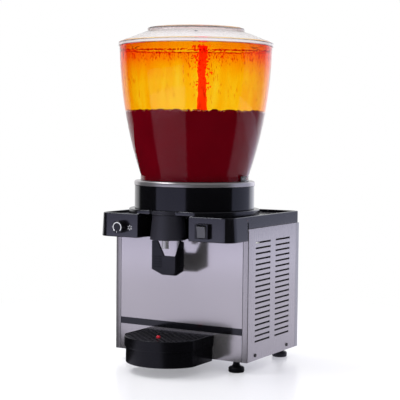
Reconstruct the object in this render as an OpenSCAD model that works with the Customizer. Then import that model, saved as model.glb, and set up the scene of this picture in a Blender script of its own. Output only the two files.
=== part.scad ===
// Cold drink dispenser: a clear bowl over a refrigerated steel cabinet with a push lever tap.
// Origin on the floor under the bowl axis. X runs to the right, Y to the back, Z up. Millimetres.

/* [Cabinet] */

// Width across the two side panels
body_width = 320; // [306:1:334]
// Depth from the front panel to the rear panel
body_depth = 236; // [228:1:250]
// Height of the steel panels
panel_height = 272; // [262:1:288]
// Distance from the front panel back to the bowl axis
axis_setback = 56; // [54:0.5:60]
// Thickness of the cabinet sheet steel
sheet = 1.2; // [0.8:0.1:1.6]
// Width of the side panel strip that wraps onto the front
front_flange = 11.5; // [9:0.5:15]
// Width of the rear panel strip that wraps onto each side
rear_return = 13; // [10:0.5:18]
// Open seam between neighbouring panels
seam = 0.6; // [0.4:0.1:1]
// Thickness of the base pan
pan_sheet = 2; // [1.5:0.1:3]
// Height of the upturned edge of the base pan
pan_edge = 17; // [15:1:22]
// Number of louvre rows on each side panel
louvre_rows = 19; // [12:1:19]
// Vertical distance between louvre rows
louvre_pitch = 11.3; // [10:0.1:11.8]
// Clear height of one louvre slot
louvre_slot = 3.6; // [2.6:0.1:4]
// Length of one louvre slot
louvre_length = 65; // [50:1:70]
// Height of the lowest louvre above the cabinet bottom
louvre_first = 39; // [34:1:45]
// Height of the black band across the front
band_height = 14; // [10:0.5:18]
// How far the front band stands proud of the panel
band_proud = 0.4; // [0.2:0.1:0.8]
// Height of the band above the cabinet bottom
band_rise = 55; // [53:0.5:60]

/* [Top moulding] */

// Height of the moulded skirt above the panels
tray_height = 25.5; // [23:0.5:30]
// Reach of the nose ahead of the front panel
nose_reach = 71; // [68:0.5:74]
// Depth that the nose hangs below the skirt
nose_drop = 24; // [20:0.5:28]
// Plan radius of the two nose corners
nose_corner = 25; // [18:1:32]
// Plan radius of the two rear corners
rear_corner = 8; // [5:0.5:12]
// Wall thickness of the moulding
tray_wall = 3; // [2.5:0.1:3.5]
// Width of the raised rim
rim_width = 6; // [5:0.5:8]
// Depth of the deck below the rim
deck_recess = 7; // [5:0.5:9]
// Radius of the plinth disc under the collar
plinth_radius = 138; // [134:0.5:142]
// Height of the plinth above the rim
plinth_rise = 8.5; // [7:0.5:11]
// Half width of the recess that holds the tap
recess_half = 60; // [52:0.5:64]
// Depth of the tap recess behind the nose front
recess_depth = 63; // [60:0.5:66]

/* [Bowl stand] */

// Outer radius of the black collar
collar_radius = 126.5; // [124:0.5:130]
// Height of the collar
collar_height = 49; // [46:0.5:54]
// Wall thickness of the collar
collar_wall = 4; // [3:0.5:5]
// Height of the steel seat ring
ring_height = 10; // [8:0.5:12]
// Overhang of the seat ring past the collar
ring_lip = 1; // [0.5:0.1:2]
// Radial width of the seat ring
ring_width = 23; // [20:0.5:25]
// Width of one bowl clip
clip_width = 18; // [14:0.5:22]
// Height of one bowl clip
clip_height = 11; // [9:0.5:13]

/* [Bowl and lid] */

// Outer radius of the bowl neck
neck_radius = 114; // [112:0.5:116]
// Height of the straight neck
neck_height = 10; // [8:0.5:12]
// Outer radius of the bowl mouth
bowl_radius = 160; // [156:0.5:166]
// Height of the curved bowl wall
bowl_height = 264; // [255:1:280]
// Outward bulge of the wall from a straight cone
bowl_bulge = 9.9; // [8:0.1:12]
// Height of the straight mouth band
mouth_height = 8; // [6:0.5:10]
// Wall thickness of the bowl
bowl_wall = 3; // [2.5:0.1:4]
// Thickness of the bowl floor
bowl_floor = 4; // [3:0.5:5]
// Depth of the drink above the bowl floor
drink_depth = 144; // [142:1:180]
// Reach of the lid rim past the bowl mouth
lid_overhang = 2.5; // [2.2:0.1:3.5]
// Height of the lid rim band
lid_rim = 8; // [6:0.5:10]
// Rise of the lid above its rim band
lid_rise = 30; // [24:0.5:36]
// Radius of the flat lid top
lid_plateau = 101.7; // [90:0.5:110]
// Wall thickness of the lid
lid_wall = 3; // [2.5:0.1:3.5]

/* [Cooling unit] */

// Radius of the cold drum in the bowl
drum_radius = 58; // [57:0.5:60]
// Height of the cold drum above its flange
drum_height = 92; // [85:1:100]
// Sheet thickness of the cold drum
drum_sheet = 1.5; // [1:0.1:2]
// Radius of the compressor shell
compressor_radius = 60; // [55:1:64]
// Height of the compressor shell
compressor_height = 150; // [130:1:160]
// Radius of the condenser fan
fan_radius = 68; // [60:1:72]
// Depth of the condenser block
condenser_depth = 30; // [24:1:32]
// Radius of the refrigerant pipes
pipe_radius = 4; // [3:0.5:5]

/* [Tap] */

// Distance of the nozzle axis ahead of the front panel
tap_reach = 60; // [59:0.5:62]
// Distance of the lever pivot ahead of the front panel
pivot_reach = 48.5; // [47:0.5:49.5]
// Radius of the tap cover at its top
cover_top = 31.7; // [31:0.1:34]
// Radius of the tap cover at its bottom
cover_bottom = 37.5; // [36.5:0.1:39]
// Wall thickness of the tap cover
cover_wall = 2.5; // [2:0.1:3]
// Outer radius of the nozzle
nozzle_radius = 7; // [6.8:0.1:7.4]
// Wall thickness of the nozzle
nozzle_wall = 1; // [0.8:0.1:1.2]
// Length of nozzle below the tap cover
nozzle_drop = 18; // [14:0.5:22]
// Half width of the lever plate
lever_half = 37.4; // [34:0.1:39]
// Length of the lever plate below the cover
lever_length = 74.5; // [68:0.5:80]
// Thickness of the lever plate
lever_plate = 4; // [3:0.1:5]
// Radius of the lever pivot pin
pin_radius = 2.5; // [2:0.1:3]

/* [Drip tray] */

// Half width of the drip tray
drip_half = 82.5; // [78:0.5:86]
// Reach of the drip tray ahead of the front panel
drip_reach = 137; // [132:0.5:140]
// Radius of the drip tray's bowed front
drip_bow = 88; // [87:0.5:92]
// Height of the drip tray
drip_height = 53.8; // [50:0.1:56]
// How far the drip tray hangs below the cabinet bottom
drip_drop = 3.5; // [2:0.5:5]
// Height of the wider band at the top of the tray
drip_band = 21; // [18:0.5:24]
// Inset of the tray body below the band
drip_inset = 3; // [2:0.1:4]
// Wall thickness of the drip tray
drip_wall = 2.5; // [2:0.1:3]
// Thickness of the drip grille
grille_plate = 3; // [2:0.1:4]
// Radius of the float stem
float_stem = 4; // [3:0.1:5]

/* [Controls] */

// Distance of the thermostat knob from the left side
knob_inset = 59; // [54:0.5:65]
// Radius of the thermostat knob
knob_radius = 13; // [11:0.5:15]
// Length of the thermostat knob
knob_length = 14; // [11:0.5:16]
// Distance of the switch from the right side
switch_inset = 64.5; // [56:0.5:68]
// Width of the switch bezel
switch_width = 30; // [28:0.5:32]
// Height of the switch bezel
switch_height = 29.5; // [29:0.5:31]
// Angle between the two switch positions
rocker_throw = 16; // [12:1:16]

/* [Feet] */

// Height of the cabinet bottom above the floor
foot_height = 24; // [20:0.5:30]
// Radius of the foot pad
foot_radius = 16.4; // [14:0.1:18]
// Inset of the feet from the cabinet sides
foot_inset_x = 34; // [32:0.5:40]
// Inset of the feet from the front and rear
foot_inset_y = 18; // [17:0.5:24]
// Radius of the foot stud
stud_radius = 4; // [3:0.5:5]

/* [Clearances] */

// Radial clearance of a turning shaft or pin
run_fit = 0.05; // [0.02:0.01:0.1]
// Gap between parts that slide past each other
slide_gap = 0.4; // [0.3:0.05:0.6]
// Gap under a valve face or pad that must not bind
face_gap = 0.2; // [0.1:0.05:0.3]

/* [Hidden] */

$fn = 96;

// Cabinet planes
half = body_width / 2;
y_front = -axis_setback;
y_back = body_depth - axis_setback;
z_base = foot_height;
z_skirt = z_base + panel_height;
z_pan = z_base + sheet;
z_pan_top = z_pan + pan_sheet;
pan_half = half - sheet - 0.3;
pan_front = y_front + sheet + 0.3;
pan_back = y_back - sheet - 0.3;
fold = 12;

// Top moulding planes
z_rim = z_skirt + tray_height;
z_deck = z_rim - deck_recess;
z_deck_under = z_deck - tray_wall;
z_plinth = z_rim + plinth_rise;
z_nose = z_skirt - nose_drop;
y_nose = y_front - nose_reach;
y_recess = y_nose + recess_depth;
plinth_bore = plinth_radius - 28;

// Bowl stand planes
z_ring = z_plinth + collar_height;
z_seat = z_ring + ring_height;
ring_outer = collar_radius + ring_lip;
ring_inner = ring_outer - ring_width;
shelf = 4;
z_shelf_top = z_ring - 9;
z_shelf = z_shelf_top - shelf;

// Bowl profile: an arc from the neck to the mouth, with its centre found from the bulge
z_neck = z_seat + neck_height;
z_shoulder = z_neck + bowl_height;
z_mouth = z_shoulder + mouth_height;
wall_run = bowl_radius - neck_radius;
wall_chord = norm([wall_run, bowl_height]);
arc_radius = (wall_chord * wall_chord / 4 + bowl_bulge * bowl_bulge) / (2 * bowl_bulge);
arc_r = (bowl_radius + neck_radius) / 2 + bowl_height / wall_chord * (bowl_bulge - arc_radius);
arc_z = (z_neck + z_shoulder) / 2 - wall_run / wall_chord * (bowl_bulge - arc_radius);
hub_bore = drum_radius + 4;
bead = 0.4;
hub_outer = hub_bore + 8;
z_floor = z_seat + bowl_floor;
z_level = z_floor + drink_depth;
spigot_y = -92;
spigot_radius = 8;
spigot_bore = 6;

// Cold drum and pump planes
drum_flange = drum_radius + 18;
z_drum = z_shelf_top;
z_drum_top = z_drum + drum_height;
gasket_height = 5;
z_gasket = z_drum + 2;
z_hub = z_gasket + gasket_height;
axle_radius = 3;
pump_height = 18;
pump_radius = 34;
pump_wall = 2.5;
z_pump = z_drum_top + pump_height;
spray_offset = 16;
spray_bore = 6;
spray_wall = 2;
z_spray = z_level - 9;
shaft_radius = 4;
motor_radius = 36;
motor_height = 52;
bracket_sheet = 2;
z_bracket = z_shelf - bracket_sheet;
z_motor = z_bracket - motor_height;
magnet_radius = 28;
magnet_height = 10;
z_magnet = z_drum_top - drum_sheet - 1.5 - magnet_height;
coil_wire = 3.5;
coil_radius = drum_radius - drum_sheet - coil_wire - 1;
z_coil_ends = z_bracket - 12;

// Compressor, condenser and fan places
comp_x = -78;
comp_y = 68;
comp_lift = 10;
z_comp = z_pan_top + comp_lift;
z_comp_top = z_comp + compressor_height;
vent_y = y_front + 110;
cond_x = half - sheet - 10 - condenser_depth;
cond_length = 158;
cond_front = vent_y - cond_length / 2;
z_cond = z_pan_top + 12;
cond_height = 204;
cond_mid = cond_x + condenser_depth / 2;
cond_tubes = 6;
cond_pitch = cond_height / cond_tubes;
cond_fins = 15;
fin_sheet = 0.8;
shroud_depth = 30;
shroud_x = cond_x - shroud_depth;
fan_z = z_cond + cond_height / 2;
hub_radius = 20;
fan_motor_radius = 25;
fan_motor_length = 34;
z_discharge = z_cond + cond_height + 22;
z_suction = z_deck_under - 22;
drier_radius = 9;
drier_length = 70;
drier_x = cond_mid - 34;
drier_y = cond_front + cond_length + 20;
z_drier = z_cond + 60;
bend = 12;

// Tap geometry
tap_y = y_front - tap_reach;
pivot_y = y_front - pivot_reach;
z_cover_top = z_plinth;
z_cover = z_nose - 1;
cover_height = z_cover_top - z_cover;
pivot_z = z_cover + 41;
z_cover_lip = z_cover_top - 9;
cover_lip = cover_top + 1.1;
valve_radius = 14;
valve_bore = 9;
stem_radius = 2.5;
z_valve = z_cover;
z_seat_face = z_valve + 4;
z_chamber = z_seat_face + 4;
z_chamber_top = z_chamber + 14;
z_valve_top = z_chamber_top + 4;
pad_radius = 2;
z_button = pivot_z - face_gap;
button_radius = 7;
button_plate = 3;
z_button_under = z_button - button_plate;
inlet_radius = 11;
inlet_bore = spigot_radius + 0.5;
z_inlet_floor = z_chamber + 1;
z_spigot = z_shelf - 12;
ear_in = 15.5;
ear_out = 19.5;
arm_in = ear_out + slide_gap;
arm_out = arm_in + 4.5;
spring_wire = 0.8;
spring_radius = 5;

// Lever plate outline
lever_front = pivot_y + 4.5;
wing_front = pivot_y - 3.5;
lever_fold = 14;
z_lever_top = z_cover - 4;
z_lever = z_cover - lever_length;
z_wing = z_lever + 11.5;
z_window = z_cover - 35;
window_top = lever_half - 10.4;
window_low = 13;
web_out = lever_half - 8;

// Drip tray planes
z_drip = z_base - drip_drop;
z_drip_top = z_drip + drip_height;
drip_back = y_front - band_proud - slide_gap;
drip_front = y_front - drip_reach;
drip_centre = drip_front + drip_bow;
drip_rear_wall = 11;
ledge = 2;
z_grille = z_drip_top - grille_plate - 0.8;
float_y = y_front - 84;
float_disc = 12;
hook_x = 45;
z_hook = z_drip_top - 19.3;
hook_shank = 3;
hook_head = 6;
hook_plate = 3;
hook_neck = 4.6;

// Controls
z_control = z_nose + 21.5;
knob_offset = half - knob_inset;
switch_offset = half - switch_inset;
thermo_half = 18;
thermo_depth = 32;
spindle_radius = 3;
bezel_depth = 9;
paddle_half = 9.5;
paddle_rise = 11.2;
rocker_y = y_nose - 3;
rocker_pin = 1.5;

// Feet and screws
foot_x = half - foot_inset_x;
foot_y_front = y_front + foot_inset_y;
foot_y_rear = y_back - foot_inset_y;
z_foot_top = z_pan - face_gap;
nut_height = 9;
screw_y = [y_front + 35, y_front + 182];
z_screw = z_pan_top + 7.5;
gland_x = -100;
z_gland = z_base + 40;
gland_bore = 4.2;
gland_radius = 12;
gland_neck = 8;
gland_proud = 13;
gland_flange = 4;

function louvre_z(row) = z_base + louvre_first + row * louvre_pitch;

// A tube ring from its two radii
module ring(outer, inner, height) {
  difference() {
    cylinder(r = outer, h = height);
    translate([0, 0, -1]) cylinder(r = inner, h = height + 2);
  }
}

// A box given by its two opposite corners
module block(low, high) {
  translate(low) cube(high - low);
}

// A cylinder along X from one end to the other
module rod_x(x0, x1, y, z, radius) {
  translate([x0, y, z]) rotate([0, 90, 0]) cylinder(r = radius, h = x1 - x0);
}

// A cylinder along Y from one end to the other
module rod_y(x, y0, y1, z, radius) {
  translate([x, y1, z]) rotate([90, 0, 0]) cylinder(r = radius, h = y1 - y0);
}

// A straight pipe between two points that lie along one axis
module pipe_straight(from, to, radius) {
  along = (to - from) / norm(to - from);
  side = abs(along[2]) > 0.5 ? [1, 0, 0] : [0, 0, 1];
  up = cross(along, side);
  multmatrix([
    [side[0], up[0], along[0], from[0]],
    [side[1], up[1], along[1], from[1]],
    [side[2], up[2], along[2], from[2]],
    [0, 0, 0, 1]
  ]) cylinder(r = radius, h = norm(to - from));
}

// A quarter bend between two pipe directions
module pipe_bend(corner, into, out, radius) {
  centre = corner - into * bend + out * bend;
  axis = cross(into, out);
  multmatrix([
    [-out[0], into[0], axis[0], centre[0]],
    [-out[1], into[1], axis[1], centre[1]],
    [-out[2], into[2], axis[2], centre[2]],
    [0, 0, 0, 1]
  ]) rotate_extrude(angle = 90) translate([bend, 0]) circle(r = radius);
}

// A pipe with quarter bends that follows a list of points
module pipe_run(points, radius) {
  last = len(points) - 1;
  for (i = [0 : last - 1]) {
    along = (points[i + 1] - points[i]) / norm(points[i + 1] - points[i]);
    start = points[i] + along * (i > 0 ? bend : 0);
    stop = points[i + 1] - along * (i < last - 1 ? bend : 0);
    pipe_straight(start, stop, radius);
    if (i < last - 1) {
      next = (points[i + 2] - points[i + 1]) / norm(points[i + 2] - points[i + 1]);
      pipe_bend(points[i + 1], along, next, radius);
    }
  }
}

// A round wire along a path of [radius, angle, height] points
module wire_path(path, wire, sides) {
  count = len(path);
  xyz = [for (p = path) [p[0] * cos(p[1]), p[0] * sin(p[1]), p[2]]];
  rings = [for (i = [0 : count - 1])
    let (a = xyz[max(i - 1, 0)], b = xyz[min(i + 1, count - 1)])
    let (along = (b - a) / norm(b - a), out = [cos(path[i][1]), sin(path[i][1]), 0])
    let (flat = out - along * (out * along), n1 = flat / norm(flat), n2 = cross(along, n1))
    for (s = [0 : sides - 1]) xyz[i] + wire * (n1 * cos(s * 360 / sides) + n2 * sin(s * 360 / sides))];
  skin = [for (i = [0 : count - 2]) for (s = [0 : sides - 1])
    let (t = (s + 1) % sides)
    each [[i * sides + s, i * sides + t, (i + 1) * sides + t],
          [i * sides + s, (i + 1) * sides + t, (i + 1) * sides + s]]];
  polyhedron(points = rings, faces = concat([for (f = skin) [f[2], f[1], f[0]]],
    [[for (s = [0 : sides - 1]) s]], [[for (s = [0 : sides - 1]) (count - 1) * sides + sides - 1 - s]]));
}

// Floor pan that carries the cooling unit and the feet
module base_pan() {
  color("silver") difference() {
    block([-pan_half, pan_front, z_pan], [pan_half, pan_back, z_pan + pan_edge]);
    block([-pan_half + pan_sheet, pan_front + pan_sheet, z_pan_top],
          [pan_half - pan_sheet, pan_back - pan_sheet, z_pan + pan_edge + 1]);
    for (x = [-foot_x, foot_x], y = [foot_y_front, foot_y_rear])
      translate([x, y, z_pan - 1]) cylinder(r = stud_radius + 0.5, h = pan_sheet + 2);
    for (y = screw_y) rod_x(-half, half, y, z_screw, 1.6);
  }
}

// Polished front panel with folded side returns, pierced for the two tray studs
module front_panel() {
  edge = half - front_flange - seam;
  top = z_deck_under - 0.4;
  color("lightgray") difference() {
    union() {
      block([-edge, y_front, z_base], [edge, y_front + sheet, top]);
      for (s = [0, 1]) mirror([s, 0, 0])
        block([edge - sheet, y_front, z_pan + pan_edge + 3], [edge, y_front + fold, z_skirt - 12]);
    }
    for (x = [-hook_x, hook_x]) rod_y(x, y_front - 1, y_front + sheet + 1, z_hook, hook_shank);
  }
}

// One side panel on the right: a folded sheet with two columns of louvres, each with a lip inside
module side_panel() {
  rear = y_back - rear_return - seam;
  columns = [y_front + 32, y_front + 123];
  difference() {
    union() {
      block([half - sheet, y_front, z_base], [half, rear, z_skirt]);
      block([half - front_flange, y_front, z_base], [half, y_front + sheet, z_skirt]);
      block([half - fold, y_front, z_base], [half, rear, z_base + sheet]);
      block([half - fold, y_front, z_skirt - sheet], [half, rear, z_skirt]);
      for (y = columns) translate([0, y + louvre_length - 4, 0]) rotate([90, 0, 0])
        linear_extrude(louvre_length - 4) for (row = [0 : louvre_rows - 1])
          translate([half - sheet - 3, louvre_z(row) - louvre_slot / 2 - 1.2]) square([3.2, 1.2]);
    }
    translate([half - sheet - 1, 0, 0]) rotate([90, 0, 90]) linear_extrude(sheet + 2)
      for (row = [0 : louvre_rows - 1], y = columns) {
        translate([y, louvre_z(row) - louvre_slot / 2]) square([louvre_length, louvre_slot]);
        translate([y + louvre_length, louvre_z(row)]) circle(r = louvre_slot * 0.72);
      }
    for (y = screw_y) rod_x(half - sheet - 1, half + 1, y, z_screw, 1.6);
  }
}

module right_side_panel() {
  color("lightgray") side_panel();
}

module left_side_panel() {
  color("lightgray") mirror([1, 0, 0]) side_panel();
}

// Rear panel with returns onto the sides, air slots and the cable entry
module rear_panel() {
  color("silver") difference() {
    union() {
      block([-half, y_back - sheet, z_base], [half, y_back, z_skirt]);
      for (s = [0, 1]) mirror([s, 0, 0])
        block([half - sheet, y_back - rear_return, z_base], [half, y_back, z_skirt]);
    }
    for (row = [0 : 7], x = [-75, 0, 75])
      block([x - 25, y_back - sheet - 1, z_base + 120 + row * 14],
            [x + 25, y_back + 1, z_base + 124 + row * 14]);
    rod_y(gland_x, y_back - sheet - 1, y_back + 1, z_gland, gland_neck);
  }
}

// Gloss band across the front panel
module front_band() {
  edge = half - front_flange - seam - 0.5;
  color("black")
    block([-edge, y_front - band_proud, z_base + band_rise],
          [edge, y_front, z_base + band_rise + band_height]);
}

// Plan outline of the top moulding, drawn in by an inset
module tray_outline(inset) {
  front_x = half - nose_corner;
  rear_x = half - rear_corner;
  translate([-half + inset, y_nose + nose_corner])
    square([2 * (half - inset), y_back - rear_corner - y_nose - nose_corner]);
  translate([-front_x, y_nose + inset]) square([2 * front_x, nose_corner + 40]);
  translate([-rear_x, y_back - rear_corner - 40]) square([2 * rear_x, rear_corner + 40 - inset]);
  for (s = [-1, 1]) {
    translate([s * front_x, y_nose + nose_corner]) circle(r = nose_corner - inset);
    translate([s * rear_x, y_back - rear_corner]) circle(r = rear_corner - inset);
  }
}

// Outline of the nose alone, ahead of the front panel
module nose_outline(inset, back) {
  intersection() {
    tray_outline(inset);
    translate([-half, y_nose - 1]) square([body_width, back - y_nose + 1]);
  }
}

// The tapered space that the tap cover stands in
module cover_cone(grow) {
  translate([0, pivot_y, z_cover])
    cylinder(r1 = cover_bottom + grow, r2 = cover_top + grow, h = cover_height);
}

// Top moulding: skirt, nose with its tap recess, sunk deck and plinth
module top_tray() {
  color("#151517") difference() {
    union() {
      difference() {
        union() {
          translate([0, 0, z_skirt]) linear_extrude(tray_height) tray_outline(0);
          translate([0, 0, z_nose]) linear_extrude(nose_drop + 1) nose_outline(0, y_front - slide_gap);
        }
        translate([0, 0, z_deck]) linear_extrude(deck_recess + 1) tray_outline(rim_width);
        translate([0, 0, z_skirt - 1]) linear_extrude(z_deck_under - z_skirt + 1)
          intersection() {
            tray_outline(tray_wall);
            translate([-half, y_front - slide_gap - tray_wall]) square([body_width, body_depth + 20]);
          }
        translate([0, 0, z_nose + tray_wall]) linear_extrude(z_deck_under - z_nose - tray_wall)
          nose_outline(tray_wall, y_front - slide_gap - tray_wall);
        translate([0, 0, z_deck_under - 1]) cylinder(r = plinth_bore, h = tray_height);
      }
      translate([0, 0, z_deck_under]) linear_extrude(z_plinth - z_deck_under) difference() {
        union() {
          intersection() {
            circle(r = plinth_radius);
            tray_outline(rim_width);
          }
          circle(r = collar_radius);
        }
        circle(r = plinth_bore);
      }
      block([-recess_half - tray_wall, y_nose + tray_wall / 2, z_nose],
            [recess_half + tray_wall, y_recess + tray_wall, z_deck_under + 1]);
    }
    block([-recess_half, y_nose - 30, z_nose - 1], [recess_half, y_recess, z_rim]);
    cover_cone(slide_gap);
    translate([0, pivot_y, z_cover_lip - slide_gap])
      cylinder(r = cover_lip + slide_gap, h = 2 + 2 * slide_gap);
    translate([0, 0, z_nose - 1]) linear_extrude(z_deck_under - z_nose)
      translate([-half, y_front - slide_gap]) square([body_width, slide_gap + sheet + slide_gap]);
    rod_y(-knob_offset, y_nose - 1, y_nose + tray_wall + 1, z_control, 6);
    block([switch_offset - switch_width / 2 + 2, y_nose - 1, z_control - switch_height / 2 + 2],
          [switch_offset + switch_width / 2 - 2, y_nose + tray_wall + 1, z_control + switch_height / 2 - 2]);
  }
}

// Tapered round cover over the tap
module tap_cover() {
  color("#101012") difference() {
    union() {
      cover_cone(0);
      translate([0, pivot_y, z_cover_lip]) cylinder(r = cover_lip, h = 2);
    }
    translate([0, pivot_y, z_cover - 1])
      cylinder(r1 = cover_bottom - cover_wall + 0.1, r2 = cover_top - cover_wall,
               h = cover_height - cover_wall + 1);
    translate([0, spigot_y, z_cover]) cylinder(r = inlet_radius + slide_gap, h = cover_height + 1);
  }
}

// Gloss collar that carries the bowl, with the shelf for the cold drum
module collar() {
  color("#0c0c0e") difference() {
    union() {
      translate([0, 0, z_plinth]) ring(collar_radius, collar_radius - collar_wall, collar_height);
      translate([0, 0, z_shelf]) ring(collar_radius - 1, drum_radius + 1, shelf);
    }
    translate([0, spigot_y, z_shelf - 1]) cylinder(r = spigot_radius + 1.5, h = shelf + 2);
  }
}

// Steel ring that the bowl sits on
module seat_ring() {
  color("silver") translate([0, 0, z_ring]) ring(ring_outer, ring_inner, ring_height);
}

// Two sprung clips at the sides of the bowl neck
module bowl_clips() {
  color("gray") for (s = [0, 1]) mirror([s, 0, 0])
    translate([0, clip_width / 2, z_seat]) rotate([90, 0, 0]) linear_extrude(clip_width)
      polygon([
        [neck_radius + 1.2, 0], [ring_outer - 2, 0], [ring_outer - 4, 2.5], [neck_radius + 4.2, 3.5],
        [neck_radius + 4.2, clip_height - 3], [neck_radius + 8, clip_height - 1.5],
        [neck_radius + 8, clip_height], [neck_radius + 1.2, clip_height]
      ]);
}

// Rubber seal between the bowl hub and the drum flange
module bowl_gasket() {
  color("#303030") translate([0, 0, z_gasket]) ring(drum_flange - 2, drum_radius + 0.3, gasket_height);
}

// Insulation under the collar shelf
module collar_foam() {
  color("khaki") difference() {
    translate([0, 0, z_plinth]) ring(collar_radius - collar_wall - 0.5, drum_flange + 6, z_shelf - z_plinth);
    translate([0, spigot_y, z_plinth - 1]) cylinder(r = inlet_radius + 7, h = collar_height);
  }
}

// Cold drum: a flanged steel cup that stands in the drink, with the impeller axle on top
module cold_drum() {
  color("lightgray") difference() {
    union() {
      translate([0, 0, z_drum]) cylinder(r = drum_flange, h = 2);
      translate([0, 0, z_drum]) cylinder(r = drum_radius, h = drum_height);
      translate([0, 0, z_drum]) cylinder(r = axle_radius, h = drum_height + 13);
    }
    translate([0, 0, z_drum - 1]) cylinder(r = drum_radius - drum_sheet, h = drum_height + 1 - drum_sheet);
  }
}

// Evaporator tube wound against the inside of the drum, with both tails led down
module evaporator_coil() {
  low = z_drum + 16;
  high = z_magnet - 14;
  turns = 5;
  tail = 8;
  inner = coil_radius - 2.6 * coil_wire;
  steps = 16;
  lead = 9;
  path = concat(
    [[coil_radius, 0, z_coil_ends]],
    [for (i = [0 : 3]) [coil_radius, (1 - cos(i * 30)) * lead, low - tail + sin(i * 30) * tail]],
    [for (i = [1 : turns * steps - 1])
      [coil_radius, lead + i * 360 / steps, low + (high - low) * i / (turns * steps)]],
    [for (i = [0 : 8]) [coil_radius + (inner - coil_radius) * i / 8, lead + i * 22.5, high]],
    [for (i = [1 : 3]) [inner, 180 + lead + sin(i * 30) * lead, high - (1 - cos(i * 30)) * tail]],
    [[inner, 180 + 2 * lead, z_coil_ends]]
  );
  color("peru") wire_path(path, coil_wire, 8);
}

// Plate under the shelf that the pump motor hangs from, slotted for the coil tails
module motor_bracket() {
  color("silver") difference() {
    translate([0, 0, z_bracket]) cylinder(r = drum_flange + 2, h = bracket_sheet);
    translate([0, 0, z_bracket - 1]) cylinder(r = shaft_radius + 2, h = bracket_sheet + 2);
    translate([coil_radius, 0, z_bracket - 1]) cylinder(r = coil_wire + 2, h = bracket_sheet + 2);
    rotate(198) translate([coil_radius - 2.6 * coil_wire, 0, z_bracket - 1])
      cylinder(r = coil_wire + 2, h = bracket_sheet + 2);
    translate([0, spigot_y, z_bracket - 1]) cylinder(r = inlet_radius + 7, h = bracket_sheet + 2);
  }
}

// Motor that drives the magnet through the wall of the drum
module pump_motor() {
  color("#404040") difference() {
    union() {
      translate([0, 0, z_motor]) cylinder(r = motor_radius, h = motor_height - 4);
      translate([0, 0, z_motor + 4]) cylinder(r = motor_radius - 6, h = motor_height - 4);
    }
    translate([0, 0, z_bracket - 20]) cylinder(r = shaft_radius + run_fit, h = 21);
  }
}

// Motor shaft with the driving magnet disc
module drive_magnet() {
  color("dimgray") union() {
    translate([0, 0, z_bracket - 18]) cylinder(r = shaft_radius, h = z_magnet - z_bracket + 19);
    translate([0, 0, z_magnet]) cylinder(r = magnet_radius, h = magnet_height);
  }
}

// Impeller that turns on the drum axle
module impeller() {
  color("white") difference() {
    union() {
      translate([0, 0, z_drum_top + 1]) cylinder(r = 26, h = 4);
      translate([0, 0, z_drum_top + 1]) cylinder(r = 8, h = 10);
      for (i = [0 : 5]) rotate(i * 60)
        translate([6, -1, z_drum_top + 4]) cube([19, 2, 7]);
    }
    translate([0, 0, z_drum_top]) cylinder(r = axle_radius + run_fit, h = 16);
  }
}

// Pump cap on the drum with side inlets and an offset outlet
module pump_housing() {
  color("whitesmoke") difference() {
    union() {
      translate([0, 0, z_drum_top]) cylinder(r = pump_radius, h = pump_height);
      translate([spray_offset, 0, z_pump - 1]) cylinder(r = spray_bore - 0.1, h = 7);
    }
    translate([0, 0, z_drum_top - 1]) cylinder(r = pump_radius - pump_wall, h = pump_height + 1 - pump_wall);
    translate([spray_offset, 0, z_drum_top]) cylinder(r = spray_bore - 1.6, h = pump_height + 8);
    for (i = [0 : 3]) rotate(45 + i * 90)
      block([pump_radius - 6, -6, z_drum_top + 2], [pump_radius + 4, 6, z_drum_top + 8]);
  }
}

// Riser tube that throws the drink up against the lid
module spray_tube() {
  color("whitesmoke") translate([spray_offset, 0, z_pump])
    ring(spray_bore + spray_wall, spray_bore, z_spray - z_pump);
}

// Hermetic compressor on its foot plate
module compressor() {
  color("#1b1b1d") difference() {
    union() {
      translate([comp_x, comp_y, z_comp]) rotate_extrude() union() {
        square([compressor_radius - 14, compressor_height]);
        square([compressor_radius, compressor_height - 14]);
        translate([compressor_radius - 14, compressor_height - 14]) circle(r = 14);
      }
      translate([comp_x, comp_y, z_comp + compressor_height * 0.55])
        cylinder(r = compressor_radius + 2, h = 5);
      block([comp_x - 62, comp_y - 50, z_comp], [comp_x + 62, comp_y + 50, z_comp + 3]);
      translate([comp_x + 25, comp_y, z_comp_top - 4]) cylinder(r = pipe_radius + 2, h = 14);
      translate([comp_x - 25, comp_y, z_comp_top - 4]) cylinder(r = pipe_radius + 2, h = 14);
    }
    for (x = [-52, 52], y = [-42, 42])
      translate([comp_x + x, comp_y + y, z_comp - 1]) cylinder(r = 6, h = 5);
  }
}

// Rubber mounts under the compressor foot plate
module compressor_grommets() {
  color("#222222") for (x = [-52, 52], y = [-42, 42]) translate([comp_x + x, comp_y + y, z_pan_top]) {
    cylinder(r = 10, h = comp_lift);
    cylinder(r = 5.9, h = comp_lift + 5);
  }
}

// Condenser fins on two end brackets, pierced for the tubes
module condenser_fins() {
  fin_step = (cond_length - fin_sheet) / (cond_fins - 1);
  color("slategray") {
    for (i = [0 : cond_fins - 1])
      translate([0, cond_front + i * fin_step + fin_sheet, 0]) rotate([90, 0, 0])
        linear_extrude(fin_sheet) difference() {
        translate([cond_x, i == 0 || i == cond_fins - 1 ? z_pan_top : z_cond])
          square([condenser_depth,
                  z_cond + cond_height - (i == 0 || i == cond_fins - 1 ? z_pan_top : z_cond)]);
        for (t = [0 : cond_tubes - 1]) translate([cond_mid, z_cond + (t + 0.5) * cond_pitch])
          circle(r = pipe_radius);
      }
  }
}

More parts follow.
